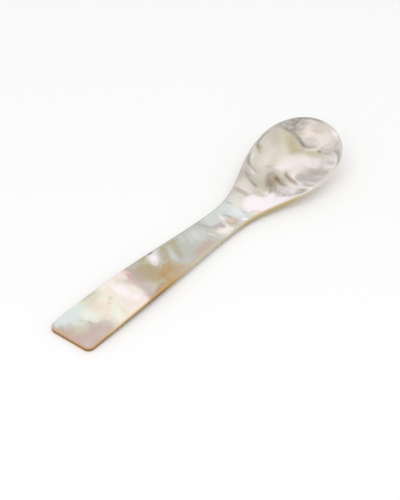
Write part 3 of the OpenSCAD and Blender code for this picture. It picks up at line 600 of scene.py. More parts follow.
    ("stone", 0.22, ((113.9, 5.4, 0.6), (115.0, 3.9, 0.3))),
    ("stone", 0.25, ((114.0, -4.2, 0.4), (115.0, -6.0, 0.2))),
    ("smoke", 0.3, ((114.4, 9.2, 0.5), (115.9, 8.2, 0.3))),
    ("stone", 0.3, ((114.6, -6.8, 0.4), (114.8, -8.6, 0.2))),
    ("stone", 0.5, ((114.8, -8.6, 0.3), (115.8, -8.9, 0.6), (117.0, -7.8, 0.2))),
    ("stone", 0.25, ((114.9, 5.8, 0.5), (116.4, 4.8, 0.3))),
    ("pearl", 0.25, ((115.2, 7.4, 0.1), (115.9, 6.8, 0.3))),
    ("pearl", 0.4, ((115.5, 6.6, 0.1), (116.1, 5.9, 0.25), (116.8, 5.0, 0.1))),
    ("stone", 0.22, ((115.8, -5.4, 0.35), (116.0, -6.8, 0.2))),
    ("pearl", 0.22, ((116.0, 9.0, 0.4), (116.6, 8.0, 0.4))),
    ("smoke", 0.2, ((116.2, 7.7, 0.2), (117.4, 6.0, 0.5))),
    ("stone", 0.3, ((117.2, 5.6, 0.3), (117.7, 4.4, 0.4), (118.0, 3.6, 0.1))),
    ("pearl", 0.4, ((117.4, 6.2, 0.2), (118.0, 4.6, 0.3), (118.2, 3.0, 0.35),
                    (118.4, 1.6, 0.1))),
    # the rim: a painted highlight along the crease of the near rim with a line of painted
    # shade just inside it, and a dark line along the far edge of the tip
    ("pearl", 0.2, ((96.0, -11.9, 0.2), (100.0, -13.0, 0.5), (106.4, -13.6, 0.7),
                    (110.4, -13.0, 0.4), (113.4, -11.5, 0.25), (115.8, -9.3, 0.35),
                    (117.6, -6.6, 0.7), (118.8, -3.4, 0.3))),
    ("stone", 0.16, ((98.0, -12.2, 0.3), (103.0, -13.15, 0.5), (106.4, -13.3, 0.5),
                     (110.2, -12.7, 0.3))),
    ("smoke", 0.45, ((111.6, 12.9, 0.3), (114.0, 11.2, 0.5), (116.2, 8.9, 0.6),
                     (117.9, 6.6, 0.6), (118.8, 4.4, 0.6), (119.3, 2.2, 0.6),
                     (119.45, 0.2, 0.3))),
)

# The growth line across the dish, from the far side to the near side: distance from
# the end of the handle and from the middle line in mm, and how strongly it shows.
GROWTH_LINE = (
    (110.4, 13.2, 0.0), (112.0, 11.6, 0.5), (112.7, 9.6, 0.75), (113.2, 7.6, 0.85),
    (113.4, 6.0, 0.7), (113.1, 4.6, 0.9), (112.5, 3.4, 1.0), (112.2, 2.4, 1.0),
    (112.2, 1.6, 0.8), (112.4, 0.6, 0.4), (112.7, -1.0, 0.15), (112.9, -3.0, 0.1),
    (112.6, -3.8, 0.3), (112.3, -5.8, 0.2), (112.5, -8.2, 0.2), (112.3, -10.2, 0.2),
    (110.8, -12.2, 0.0),
)
# The strokes' colours, in the order in which they are laid
STROKE_COLOURS = ("mauve", "stone", "smoke", "umber", "pearl", "cream")
# Contour lines: distance apart in mm of depth, and the tones that they shade between.
# The nacre's layers are too thin to see, so only the steps between growths are drawn
NACRE_CONTOURS = (0.45, 0.955, 1.02)
SHELL_CONTOURS = (0.28, 0.84, 1.09)
# Contours change along the spoon at this share of their rate with depth, and they rise
# from dark to light between these values of their noise
CONTOUR_DRIFT = 0.05
CONTOUR_RISE = (0.36, 0.64)
# Length in mm that the colours along the spoon are laid out for
WHOLE_MM = 120.0
# Colour of the wall under the rim and at its foot, at distances in mm from the end
WALL_TOP = (
    (0.0, "clay"), (6.0, "clay"), (13.0, "wheat"), (25.0, "honey"), (29.0, "bronze"),
    (34.0, "amber"), (38.0, "amber"), (43.0, "oak"), (50.0, "fawn"), (63.0, "fawn"),
    (66.4, "bone"), (69.0, "fawn"), (80.0, "moss"), (91.0, "moss"), (95.0, "bone"),
    (120.0, "bone"),
)
WALL_FOOT = (
    (0.0, "bark"), (6.0, "bark"), (12.0, "umber"), (22.0, "umber"), (28.0, "bark"),
    (33.0, "bark"), (38.0, "brass"), (43.0, "oak"), (50.0, "sand"), (70.0, "sand"),
    (76.0, "khaki"), (90.0, "khaki"), (96.0, "sand"), (104.0, "bone"), (120.0, "bone"),
)
# Between which depths in mm the wall's top colours turn into those of its foot, and
# between which distances in mm from the outline the wall turns into the back
WALL_FADE = (0.2, 1.3)
BACK_FADE = (0.4, 2.8)
# Body colour of the ground back along the spoon, and the colours of the bands that grew
# over it, each at a value of the noise that lays them
BACK_BODY = (
    (0.0, "bronze"), (14.0, "honey"), (30.0, "amber"), (44.0, "honey"), (60.0, "wheat"),
    (76.0, "moss"), (90.0, "wheat"), (104.0, "bone"), (120.0, "bone"),
)
BACK_BANDS = (
    (0.30, "bark"), (0.37, "bronze"), (0.44, "honey"), (0.50, "bone"), (0.56, "moss"),
    (0.63, "umber"), (0.70, "wheat"),
)
# The bands follow the distance from the hinge, and a season's growth is about 10 mm wide.
# Their width in mm, their share of the back's colour, and the share of the place on the
# spoon that bends them
BAND_WIDTH = 10.0
BAND_NOISE = {"Scale": 1 / BAND_WIDTH, "Detail": 3.0, "Roughness": 0.55}
BAND_SHARE = 0.45
BAND_BEND = 0.35
# Pearly sheens of the back: colour, size in mm and strength, their turn in degrees, how
# wide each is beside its length, and the values of its noise between which it rises
BACK_SHEENS = (("rose", 15.0, 0.5), ("sage", 11.0, 0.45), ("bone", 8.0, 0.6))
BACK_SLANT = 35
SHEEN_WIDTH = 0.5
SHEEN_RISE = (0.46, 0.64)
# Body colour of the nacre along the spoon, at distances in mm from the end
NACRE_BODY = (
    (0.0, "rose_tan"), (4.0, "rose_tan"), (9.0, "mint"), (13.0, "cream"), (22.0, "cream"),
    (28.6, "blush"), (30.4, "rose_tan"), (32.0, "rose_tan"), (35.8, "khaki"), (43.5, "khaki"),
    (46.4, "silver"), (63.0, "silver"), (67.0, "sheen"), (78.0, "sheen"), (81.0, "beige"),
    (120.0, "beige"),
)
# The boundaries between them slant across the handle
BODY_SHEAR = (1.0, -0.28, 0.0)
# The play of pink, then green, over the nacre: sizes in mm and the tint where it is
# strongest. Both rise between the same values of their noise
PLAY = (
    ((2.6, 1.5, 2.0), (1.03, 0.975, 0.985, 1.0)),
    ((2.1, 1.3, 3.0), (0.985, 1.02, 0.965, 1.0)),
)
PLAY_RISE = (0.35, 0.75)
# Tones of the fine streaks: their grain, how dark and light they are, and between which
# distances in mm from the end they fade in
STREAK_TONES = (
    ("slant", 0.985, 1.012, 92.0, 86.0),
    ("fan", 0.95, 1.035, 86.0, 92.0),
)
# Directions in degrees of the streaks across the handle and across the neck, the place in
# mm that those of the dish fan out from, and how far in mm they feather the clouds
SLANT = 62
NECK_SLANT = 112
FAN_CENTRE = (106.5, 8.0, 0.0)
COMB_REACH = 0.75
# Streaks: sizes in mm along, across and down, and the values of their noise between which
# they rise. Growth lines are 0.05 to 0.1 mm apart and are drawn about 0.6 mm apart, so
# that they show. The fan's sizes are in radians across its rays and in mm along them
STREAKS = ((4.0, 0.55, 2.0), 0.25, 0.75)
FAN_STREAKS = ((1 / 24, 9.0, 1.0), 0.25, 0.75)
# Between which distances in mm from the end the streaks of the handle give way to those
# of the neck, and those to the fan
NECK_FADE = (60.0, 64.0)
FAN_FADE = (84.0, 91.0)
# Clouds reach this many mm down, so that they are the same at any height
ANY_DEPTH = 1e4
# Clouds with a half size below this many mm get only this share of the feathering
SMALL_CLOUD = 1.2
SMALL_SHARE = 0.35
# Noises, each with its turn in degrees, sizes in mm, the values between which it rises and
# its detail where that isn't the usual. Flecks break up clouds of the square end, and
# mottles those beyond the growth line
FLECKS = (35, (0.9, 0.6, 0.8), 0.38, 0.62, 4.0)
MOTTLES = (-42, (2.6, 0.6, 2.0), 0.4, 0.6)
# Polishing leaves patches of more and less gloss. Its scratches are about 0.02 mm wide
# and are drawn 0.25 mm wide, and the outer shell's layers stand out as grain 0.3 mm
# thick, so that both show
GLOSS_PATCHES = (20, (3.0, 1.2, 2.0), 0.3, 0.7)
SCRATCHES = (8, (5.0, 0.25, 1.0), 0.3, 0.7)
LAYER_GRAIN = (30, (4.0, 0.5, 0.3), 0.35, 0.65)
# Size and reach in mm of the noise that bends the pattern as it grew
NACRE_WARP = (5.0, 0.9)
SHELL_WARP = (7.0, 1.6)
# Finish: least and most roughness, and strength and depth in mm of the fine relief
NACRE_FINISH = (0.2, 0.3, 0.08, 0.02)
SHELL_FINISH = (0.24, 0.4, 0.3, 0.03)
# Aragonite has an index near 1.63. The outer shell is calcite in a horny protein, with an
# index near 1.56 between them, and it takes less gloss
NACRE_SKIN = {"IOR": 1.62}
SHELL_SKIN = {"IOR": 1.56, "Specular IOR Level": 0.25}
# The painted shade along the far edge, a grey line where the rounded edge turns away: the
# mm inside the outline at which it starts and is strongest, its strength, and the mm across
# and along the spoon between which it fades in
EDGE_SHADE = (0.75, 0.1, 0.75)
EDGE_SHADE_ACROSS = (0.5, 2.5)
EDGE_SHADE_ALONG = (30.0, 40.0)
# The nacre's cut side: the mm inside the outline at which it starts and is whole, and how
# far its colour covers the pattern
CUT_SIDE = (0.32, 0.04, 0.85)

# The point on the table that the middle of the photograph shows, in mm
LOOK_AT = (-2.60, -1.68, 0.0)
# Width in mm of the sensor that the lens is given for, and how many times nearer and
# farther than the spoon the camera sees
SENSOR_WIDTH = 36.0
CLIP_RATIO = 100
# Metres from the middle of the floor to its edges
FLOOR_HALF = 4.0
# The board returns most of the light, and this much more makes it meet the backdrop
FLOOR_GLOW = 0.12
# Shares of the light on the table that come from the sky and from the lamp
SKY_SHARE = 0.7
LAMP_SHARE = 0.41
# The lamp's place over the table, in metres along and across the spoon
LAMP_PLACE = (-0.32, -0.27)

# Settings that many nodes share. Sockets with like names are given by their numbers: a
# colour mix has its factor at 0 and its colours at 6 and 7, and a map range takes the
# value at 0 from between 1 and 2 to between 3 and 4
SOFT_STEP = {"interpolation_type": "SMOOTHSTEP"}
TIMES = {"operation": "MULTIPLY"}
TIMES_PLUS = {"operation": "MULTIPLY_ADD"}
LAID_OVER = {"data_type": "RGBA", "blend_type": "MIX"}
MULTIPLIED = {"data_type": "RGBA", "blend_type": "MULTIPLY"}


def bezier(a, b, c, d, u):
    """A cubic curve from a to d, pulled towards b and c."""
    return (1 - u) ** 3 * a + 3 * (1 - u) ** 2 * u * b + 3 * (1 - u) * u * u * c + u ** 3 * d


def hermite(a, rise_a, b, rise_b, u):
    """A curve from a to b over a run of u from 0 to 1, with the given rises at its ends."""
    return ((1 + 2 * u) * (1 - u) ** 2 * a + u * (1 - u) ** 2 * rise_a
            + u * u * (3 - 2 * u) * b + u * u * (u - 1) * rise_b)


def ease(u):
    """A soft step from 0 to 1."""
    v = np.clip(u, 0.0, 1.0)
    return v * v * (3 - 2 * v)


def bump_at(distance, reach):
    """A bell of height 1 that falls off over reach."""
    return np.exp(-(distance / reach) ** 2)


def spread(start, stop, steps):
    """Evenly spaced values from start to stop."""
    return np.linspace(start, stop, steps + 1)


def spoon_plan(shape):
    """The sizes in mm with what follows from them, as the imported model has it."""
    p = SimpleNamespace(**{n: getattr(shape, n) / MM for n in shape.__annotations__})
    p.wide_x = p.spoon_l - p.tip_l
    p.dish_x = p.spoon_l - p.rim_w - p.dish_l / 2
    p.dish_half_w = p.bowl_w / 2 - p.rim_w
    p.root_x = p.dish_x - p.dish_l / 2
    p.dish_rim_h = p.belly_h + p.floor_t + p.dish_d
    p.top_edge_r = min(p.edge_r, p.nacre_t * EDGE_SHARE)
    return p


def rim_height(p, x):
    """Height of the upper face along the middle line, with the dish left out."""
    to_dish = p.dish_x - p.neck_x
    to_tip = p.spoon_l - p.dish_x
    slope_1 = (p.dish_rim_h - p.neck_h) / to_dish
    slope_2 = (p.tip_h - p.dish_rim_h) / to_tip
    slope = (slope_1 * to_tip + slope_2 * to_dish) / (to_dish + to_tip)
    handle = hermite(p.handle_t, p.arch_h, p.neck_h, 0, x / p.neck_x)
    neck = hermite(p.neck_h, 0, p.dish_rim_h, slope * to_dish, (x - p.neck_x) / to_dish)
    tip = hermite(p.dish_rim_h, slope * to_tip, p.tip_h, (2 * slope_2 - slope) * to_tip,
                  (x - p.dish_x) / to_tip)
    return np.where(x < p.neck_x, handle, np.where(x < p.dish_x, neck, tip))


def wall_thickness(p, x):
    """Thickness of the wall at the outline."""
    handle = p.handle_t + (p.neck_t - p.handle_t) * ease(x / p.neck_x)
    bowl = p.neck_t + (p.lip_t - p.neck_t) * ease((x - p.root_x) / (p.spoon_l - p.root_x))
    return np.where(x < p.neck_x, handle, bowl)


def half_outline(p):
    """Half of the outline, from the middle of the square end to the tip."""
    def run(steps):
        return np.arange(steps) / steps

    turn = run(CORNER_STEPS) * math.pi / 2
    handle_run = p.neck_x - p.corner_r
    bowl_run = p.wide_x - p.neck_x
    sweep = np.arange(TIP_STEPS + 1) / TIP_STEPS * math.pi / 2
    end = (0 * run(END_STEPS), (p.end_w / 2 - p.corner_r) * run(END_STEPS))
    corner = (p.corner_r * (1 - np.cos(turn)), p.end_w / 2 - p.corner_r * (1 - np.sin(turn)))
    handle = (bezier(p.corner_r, p.corner_r + handle_run * HANDLE_PULL_SHARES[0],
                     p.neck_x - handle_run * HANDLE_PULL_SHARES[1], p.neck_x, run(HANDLE_STEPS)),
              bezier(p.end_w / 2, p.handle_w / 2, p.neck_w / 2, p.neck_w / 2, run(HANDLE_STEPS)))
    bowl = (bezier(p.neck_x, p.neck_x + bowl_run * BOWL_PULL_SHARES[0],
                   p.wide_x - bowl_run * BOWL_PULL_SHARES[1], p.wide_x, run(BOWL_STEPS)),
            bezier(p.neck_w / 2, p.neck_w / 2, p.bowl_w / 2, p.bowl_w / 2, run(BOWL_STEPS)))
    tip = (p.wide_x + p.tip_l * np.sin(sweep), p.bowl_w / 2 * np.cos(sweep))
    points = np.concatenate([np.column_stack(part) for part in (end, corner, handle, bowl, tip)])
    points[-1, 1] = 0.0
    return points


def lay_ribs(p):
    """Adds the ribs, which run from the outline to a spine on the middle line.

    They are square to it along the handle, and fan out round the square end and the dish.
    """
    p.edge = half_outline(p)
    along = p.edge[2:] - p.edge[:-2]
    along /= np.linalg.norm(along, axis=1)[:, None]
    inside = np.column_stack([along[:, 1], -along[:, 0]])
    p.inward = np.vstack([[1, 0], inside, [-1, 0]])
    x = p.edge[:, 0]
    first = int(np.argmax(x >= p.end_w * SPINE_START_SHARE))
    last = int(np.nonzero(x < p.dish_x - p.tip_l / TIP_STEPS)[0][-1])
    p.spine_x = np.append(x[first:last + 1], p.dish_x)
    p.place = np.clip(np.arange(len(x)), first, last + 1) - first
    p.spine = np.column_stack([p.spine_x[p.place], 0 * x])


def dish_share(p, to, rim):
    """Share of each rib, from the spine, at which it crosses the edge of the dish."""
    start = (p.spine[:, 0] - p.dish_x) / (p.dish_l / 2)
    step_x = (to[:, 0] - p.dish_x) / (p.dish_l / 2) - start
    step_y = to[:, 1] / p.dish_half_w
    a = step_x ** 2 + step_y ** 2
    b = start * step_x
    c = start ** 2 - 1
    ellipse = (np.sqrt(np.maximum(b * b - a * c, 0)) - b) / a
    limit = 1 - rim / np.linalg.norm(to - p.spine, axis=1)
    return np.where(c >= 0, 0.0, np.minimum(ellipse, limit)), ellipse > limit


def dish_depth(p, to, rim, points, s):
    """Depth of the dish under the rim, its edge rounded as a polishing wheel leaves it."""
    reach, held = dish_share(p, to, rim)
    start = (p.spine[:, 0] - p.dish_x) / (p.dish_l / 2)
    across = (points[:, 0] - p.dish_x) / (p.dish_l / 2)
    free = 1 - across ** 2 - (points[:, 1] / p.dish_half_w) ** 2
    tight = (1 - start ** 2) * (1 - (s / np.maximum(reach, LEAST_REACH)) ** 2)
    raw = p.dish_d * np.where(held & (start ** 2 < 1), tight, free)
    return (raw + np.sqrt(raw * raw + CREASE_SOFT ** 2)) / 2


def belly_depth(p, x):
    """How far the belly hangs below the wall along the middle line."""
    return ((p.dish_d + p.floor_t - wall_thickness(p, p.dish_x))
            * ease((x - p.dish_x + p.belly_l) / p.belly_l))


def column(points, z):
    """Points on the plan with their heights."""
    return np.column_stack([points, z])


def top_ring(p, s):
    """A half ring of the upper face, at a share of the way from the spine."""
    to = p.edge + p.top_edge_r * p.inward
    points = p.spine + np.reshape(s, (-1, 1)) * (to - p.spine)
    depth = dish_depth(p, to, p.rim_w - p.top_edge_r, points, s)
    return column(points, rim_height(p, points[:, 0]) - depth)


def core_ring(p, s):
    """A half ring of the surface where the two layers meet."""
    points = p.spine + np.reshape(s, (-1, 1)) * (p.edge - p.spine)
    depth = dish_depth(p, p.edge, p.rim_w, points, s)
    return column(points, rim_height(p, points[:, 0]) - depth - p.nacre_t)


def belly_ring(p, s):
    """A half ring of the back."""
    to = p.edge + p.edge_r * p.inward
    points = p.spine + np.reshape(s, (-1, 1)) * (to - p.spine)
    z = rim_height(p, points[:, 0]) - wall_thickness(p, points[:, 0])
    z = z - belly_depth(p, p.spine[:, 0]) * (1 - np.reshape(s, -1) ** 2)
    return column(points, np.maximum(0.0, z))


def edge_ring(p, radius, angle, from_top):
    """A half ring of the rubbed edge, above the wall or below it."""
    points = p.edge + radius * (1 - math.cos(angle)) * p.inward
    x = points[:, 0]
    drop = radius * (1 - math.sin(angle))
    if from_top:
        return column(points, rim_height(p, x) - drop)
    return column(points, np.maximum(0.0, rim_height(p, x) - wall_thickness(p, x)) + drop)


def seam_ring(p):
    """The half ring on the outline where the two layers meet."""
    return column(p.edge, rim_height(p, p.edge[:, 0]) - p.nacre_t)


def edge_rings(p, radius, from_top):
    """The half rings of a rubbed edge, from the wall to the face."""
    angles = spread(0, math.pi / 2, EDGE_STEPS)
    return [edge_ring(p, radius, a, from_top) for a in angles]


def top_sheet(p):
    """The upper face as half rings from the seam inwards, the last one on the spine."""
    to = p.edge + p.top_edge_r * p.inward
    share, _ = dish_share(p, to, p.rim_w - p.top_edge_r)
    share = np.maximum(LEAST_DISH_SHARE, share)
    land = [top_ring(p, share + (1 - share) * g) for g in spread(1, 0, LAND_STEPS)[1:]]
    face = [top_ring(p, share * g) for g in spread(1, 0, FACE_STEPS)[1:]]
    return [seam_ring(p), *edge_rings(p, p.top_edge_r, True), *land, *face]


def core_sheet(p):
    """The surface where the two layers meet, as half rings."""
    return [seam_ring(p)] + [core_ring(p, g) for g in spread(1, 0, CORE_STEPS)[1:]]


def belly_sheet(p):
    """The wall and the back, as half rings."""
    face = [belly_ring(p, g) for g in spread(1, 0, FACE_STEPS)[1:]]
    return [seam_ring(p), *edge_rings(p, p.edge_r, False), *face]


def whole_ring(half):
    """A half ring closed by its mirror image across the middle line."""
    return np.concatenate([half, half[-2:0:-1] * (1, -1, 1)])


def sheet_points(p, sheet):
    """The points of a sheet without its seam, and without the spine's repeats."""
    spine = sheet[-1][np.searchsorted(p.place, np.arange(len(p.spine_x)))]
    return np.concatenate([whole_ring(half) for half in sheet[1:-1]] + [spine])


def sheet_faces(p, sheet, start, up):
    """Faces of a sheet whose seam ring is the first ring of the mesh."""
    last = len(p.edge) - 1
    loop = 2 * last
    k = np.arange(loop)
    nxt = (k + 1) % loop
    faces = []
    rings = len(sheet) - 1
    spine = start + (rings - 1) * loop
    for r in range(rings - 1):
        outer = 0 if r == 0 else start + (r - 1) * loop
        inner = start + r * loop
        faces += np.column_stack([outer + k, outer + nxt, inner + nxt, inner + k]).tolist()
    outer = start + (rings - 2) * loop
    for a, b in zip(k.tolist(), nxt.tolist()):
        c, d = (spine + int(p.place[m if m <= last else loop - m]) for m in (b, a))
        faces.append([outer + a, outer + b, c] if c == d else [outer + a, outer + b, c, d])
    return faces if up else [face[::-1] for face in faces]


def growth_line_at(y):
    """Place along the spoon of the dish's growth line, and how strongly it shows."""
    line = np.array(GROWTH_LINE)[::-1]
    return np.interp(y, line[:, 1], line[:, 0]), np.interp(y, line[:, 1], line[:, 2])


def top_relief(p, points):
    """What hand work and growth leave on the upper face: waves, a growth line, a chip."""
    x, y = points[:, 0], points[:, 1]
    waves = sum(share * np.sin(along * x + across * y + start)
                for share, along, across, start in POLISH_WAVES)
    highest = sum(wave[0] for wave in POLISH_WAVES)
    line_x, shows = growth_line_at(y)
    groove = shows * bump_at(x - line_x, GROOVE_REACH)
    step = (STEP_SHARE * shows * ease((x - line_x) / STEP_RUN + 0.5)
            * bump_at(x - line_x, STEP_REACH))
    chip = (bump_at(x - CHIP_PLACE[0], CHIP_HALVES[0])
            * bump_at(y - CHIP_PLACE[1], CHIP_HALVES[1]))
    return (-p.polish_wave * (waves + highest) / 2 - p.ridge_d * (groove + step)
            - p.chip_d * chip)


def back_relief(p, points):
    """Growth rings that stay a little proud on the polished back."""
    from_hinge = np.hypot(points[:, 0] - HINGE[0], points[:, 1] - HINGE[1])
    wander = WANDER * np.sin(WANDER_TURN * points[:, 1])
    rings = (np.sin(COARSE_RINGS * from_hinge)
             + FINE_SHARE * np.sin(FINE_RINGS * from_hinge + wander))
    return p.growth_d * (rings + (1 + FINE_SHARE)) / 2


def layered_solid(p, name, upper, lower, relief_on, relief):
    """A mesh between two sheets that share the seam ring, smooth but for the sharp seam.

    The attribute depth_mm is how far a point lies below the upper face at the outline,
    and edge_mm how far it lies inside the outline.
    """
    seam = whole_ring(upper[0])
    parts = [seam, sheet_points(p, upper), sheet_points(p, lower)]
    points = np.concatenate(parts)
    faces = sheet_faces(p, upper, len(seam), True)
    faces += sheet_faces(p, lower, len(seam) + len(parts[1]), False)
    inside = np.concatenate([distance_inside(p, sheet) for sheet in (upper, lower)])
    inside = np.concatenate([np.zeros(len(seam)), inside])
    depth = rim_height(p, points[:, 0]) - points[:, 2]
    begin = len(seam) + (0 if relief_on == "upper" else len(parts[1]))
    end = begin + len(parts[1 if relief_on == "upper" else 2])
    fade = ease((inside[begin:end] - RELIEF_START) / RELIEF_FADE)
    points[begin:end, 2] += fade * relief(p, points[begin:end])
    points[:, 2] = np.clip(points[:, 2], 0.0, CAD_BOX[1].z / MM)
    mesh = bpy.data.meshes.new(name)
    moved = (points - (p.spoon_l / 2, 0, 0)) * MM
    mesh.from_pydata(moved.tolist(), [], faces)
    mesh.validate()
    for key, values in (("depth_mm", depth), ("edge_mm", inside)):
        attribute = mesh.attributes.new(key, "FLOAT", "POINT")
        attribute.data.foreach_set("value", values.astype(np.float32))
    mesh.shade_smooth()
    mesh.set_sharp_from_angle(angle=math.radians(SHARP_ANGLE))
    piece = bpy.data.objects.new(name, mesh)
    bpy.context.scene.collection.objects.link(piece)
    return piece


def distance_inside(p, sheet):
    """Distance of a sheet's points from the outline, along their ribs."""
    rings = []
    for half in sheet[1:-1]:
        gap = np.linalg.norm(half[:, :2] - p.edge, axis=1)
        rings.append(np.concatenate([gap, gap[-2:0:-1]]))
    firsts = np.searchsorted(p.place, np.arange(len(p.spine_x)))
    rings.append(np.linalg.norm(sheet[-1][firsts, :2] - p.edge[firsts], axis=1))
    return np.concatenate(rings)


def add_node(tree, kind, settings=None, values=None, links=None):
    """Adds a shader node with its settings, its sockets' values and its incoming links."""
    node = tree.nodes.new(kind)
    for name, value in (settings or {}).items():
        setattr(node, name, value)
    for socket, value in (values or {}).items():
        node.inputs[socket].default_value = value
    for socket, source in (links or {}).items():
        tree.links.new(source, node.inputs[socket])
    return node


def rgba(value):
    """A colour property as red, green, blue and alpha."""
    return (*value, 1.0)


def new_material(name):
    """An empty node material and its tree."""
    material = bpy.data.materials.new(name)
    material.use_nodes = True
    material.node_tree.nodes.clear()
    return material, material.node_tree


def place_in_mm(tree, shape):
    """The place on the spoon in mm, measured from the end of the handle."""
    where = add_node(tree, "ShaderNodeTexCoord")
    moved = add_node(tree, "ShaderNodeMapping",
                     values={1: (shape.spoon_l / 2 / MM, 0, 0), 3: (1 / MM,) * 3},
                     links={0: where.outputs["Object"]})
    return moved.outputs[0]


def grown_warp(tree, place, size, reach):
    """The place pushed about by noise of a size in mm, by up to about reach mm."""
    noise = add_node(tree, "ShaderNodeTexNoise", values={"Scale": 1 / size, "Detail": 2.0},
                     links={"Vector": place})
    centred = add_node(tree, "ShaderNodeVectorMath", {"operation": "SUBTRACT"},
                       {1: (0.5, 0.5, 0.5)}, {0: noise.outputs[1]})
    pushed = add_node(tree, "ShaderNodeVectorMath", TIMES_PLUS, {1: (reach,) * 3},
                      {0: centred.outputs[0], 2: place})
    return pushed.outputs[0]


def stretched_noise(tree, place, turn, sizes, low, high, detail=3.0):
    """Noise drawn out along one direction, its values stretched between low and high."""
    turned = add_node(tree, "ShaderNodeMapping", {"vector_type": "TEXTURE"},
                      {2: (0, 0, math.radians(turn)), 3: sizes}, {0: place})
    noise = add_node(tree, "ShaderNodeTexNoise", values={"Scale": 1.0, "Detail": detail},
                     links={"Vector": turned.outputs[0]})
    return add_node(tree, "ShaderNodeMapRange", SOFT_STEP, {1: low, 2: high},
                    {0: noise.outputs[0]}).outputs[0]


def fan_noise(tree, from_centre):
    """Noise drawn out along rays from a centre, as the hair lines in the dish run."""
    parts = add_node(tree, "ShaderNodeSeparateXYZ", links={0: from_centre})
    down = add_node(tree, "ShaderNodeMath", TIMES, {1: -1.0}, {0: parts.outputs[1]})
    angle = add_node(tree, "ShaderNodeMath", {"operation": "ARCTAN2"},
                     links={0: parts.outputs[0], 1: down.outputs[0]})
    far = add_node(tree, "ShaderNodeVectorMath", {"operation": "LENGTH"},
                   links={0: from_centre})
    polar = add_node(tree, "ShaderNodeCombineXYZ",
                     links={0: angle.outputs[0], 1: far.outputs[1]})
    return stretched_noise(tree, polar.outputs[0], 0, *FAN_STREAKS)


def combed(tree, place):
    """The place pushed to and fro along the growth streaks, which feathers the clouds.

    The streaks slant across the handle, the other way across the neck, and fan out from
    the far side of the dish. Returns the place pushed fully and pushed less, and the
    streaks of the handle and of the dish.
    """
    from_centre = add_node(tree, "ShaderNodeVectorMath", {"operation": "SUBTRACT"},
                           {1: FAN_CENTRE}, {0: place}).outputs[0]
    slant = stretched_noise(tree, place, SLANT, *STREAKS)
    neck = stretched_noise(tree, place, NECK_SLANT, *STREAKS)
    fan = fan_noise(tree, from_centre)
    outward = add_node(tree, "ShaderNodeVectorMath", {"operation": "NORMALIZE"},
                       links={0: from_centre}).outputs[0]
    pushes = []
    for noise, direction in ((slant, SLANT), (neck, NECK_SLANT), (fan, outward)):
        reach = add_node(tree, "ShaderNodeMath", TIMES_PLUS,
                         {1: 2 * COMB_REACH, 2: -COMB_REACH}, {0: noise})
        push = add_node(tree, "ShaderNodeVectorMath", {"operation": "SCALE"},
                        links={"Scale": reach.outputs[0]})
        if direction is outward:
            tree.links.new(outward, push.inputs[0])
        else:
            turn = math.radians(direction)
            push.inputs[0].default_value = (math.cos(turn), math.sin(turn), 0.0)
        pushes.append(push.outputs[0])
    along = add_node(tree, "ShaderNodeSeparateXYZ", links={0: place}).outputs[0]
    push = pushes[0]
    for after, (start, stop) in zip(pushes[1:], (NECK_FADE, FAN_FADE)):
        share = add_node(tree, "ShaderNodeMapRange", SOFT_STEP, {1: start, 2: stop},
                         {0: along})
        push = add_node(tree, "ShaderNodeMix", {"data_type": "VECTOR"},
                        links={0: share.outputs[0], 4: push, 5: after}).outputs[1]
    full = add_node(tree, "ShaderNodeVectorMath", {"operation": "ADD"},
                    links={0: place, 1: push}).outputs[0]
    slight = add_node(tree, "ShaderNodeVectorMath", TIMES_PLUS, {1: (SMALL_SHARE,) * 3},
                      {0: push, 2: place}).outputs[0]
    return full, slight, slant, fan


def graded(tree, value, stops, colours, whole):
    """A colour that changes with a value, from stops placed over its whole range."""
    share = add_node(tree, "ShaderNodeMath", {"operation": "DIVIDE"}, {1: whole}, {0: value})
    ramp = add_node(tree, "ShaderNodeValToRGB", links={0: share.outputs[0]})
    ramp.color_ramp.interpolation = "EASE"
    places = ramp.color_ramp.elements
    for at, name in stops[2:]:
        places.new(at / whole)
    for place, (at, name) in zip(places, stops):
        place.position = at / whole
        place.color = rgba(getattr(colours, name))
    return ramp.outputs[0]


def oval(tree, place, centre, halves, turn, soft, strength):
    """A soft oval on the plan of the spoon, at half strength at its half sizes."""
    reach = [half / (1 - soft / 2) for half in halves]
    local = add_node(tree, "ShaderNodeMapping", {"vector_type": "TEXTURE"},
                     {1: (*centre, 0), 2: (0, 0, math.radians(turn)), 3: (*reach, ANY_DEPTH)},
                     {0: place})
    ball = add_node(tree, "ShaderNodeTexGradient", {"gradient_type": "SPHERICAL"},
                    links={0: local.outputs[0]})
    return add_node(tree, "ShaderNodeMapRange", SOFT_STEP, {1: 0.0, 2: soft, 4: strength},
                    {0: ball.outputs[1]}).outputs[0]


def clouded(tree, paint, colours, places, grains):
    """Lays the clouds and flecks over the paint.

    The places are the true one, the slightly feathered one and the feathered one.
    """
    still, slight, warped = places
    for name, strength, x, y, half_x, half_y, turn, soft, *kind in NACRE_CLOUDS:
        where = slight if min(half_x, half_y) < SMALL_CLOUD else warped
        where = still if "still" in kind else where
        mask = oval(tree, where, (x, y), (half_x, half_y), turn, soft, strength)
        for grain in grains.keys() & kind:
            mask = add_node(tree, "ShaderNodeMath", TIMES,
                            links={0: mask, 1: grains[grain]}).outputs[0]
        paint = add_node(tree, "ShaderNodeMix", LAID_OVER,
                         {7: rgba(getattr(colours, name))}, {0: mask, 6: paint}).outputs[2]
    return paint


def streaked(tree, place, paint, grains):
    """Shades the paint with the fine streaks, which fan out in the dish."""
    along = add_node(tree, "ShaderNodeSeparateXYZ", links={0: place}).outputs[0]
    for grain, dark, light, start, stop in STREAK_TONES:
        tone = add_node(tree, "ShaderNodeMapRange", values={3: dark, 4: light},
                        links={0: grains[grain]})
        share = add_node(tree, "ShaderNodeMapRange", SOFT_STEP, {1: start, 2: stop},
                         {0: along})
        paint = add_node(tree, "ShaderNodeMix", MULTIPLIED,
                         links={0: share.outputs[0], 6: paint, 7: tone.outputs[0]}).outputs[2]
    return paint


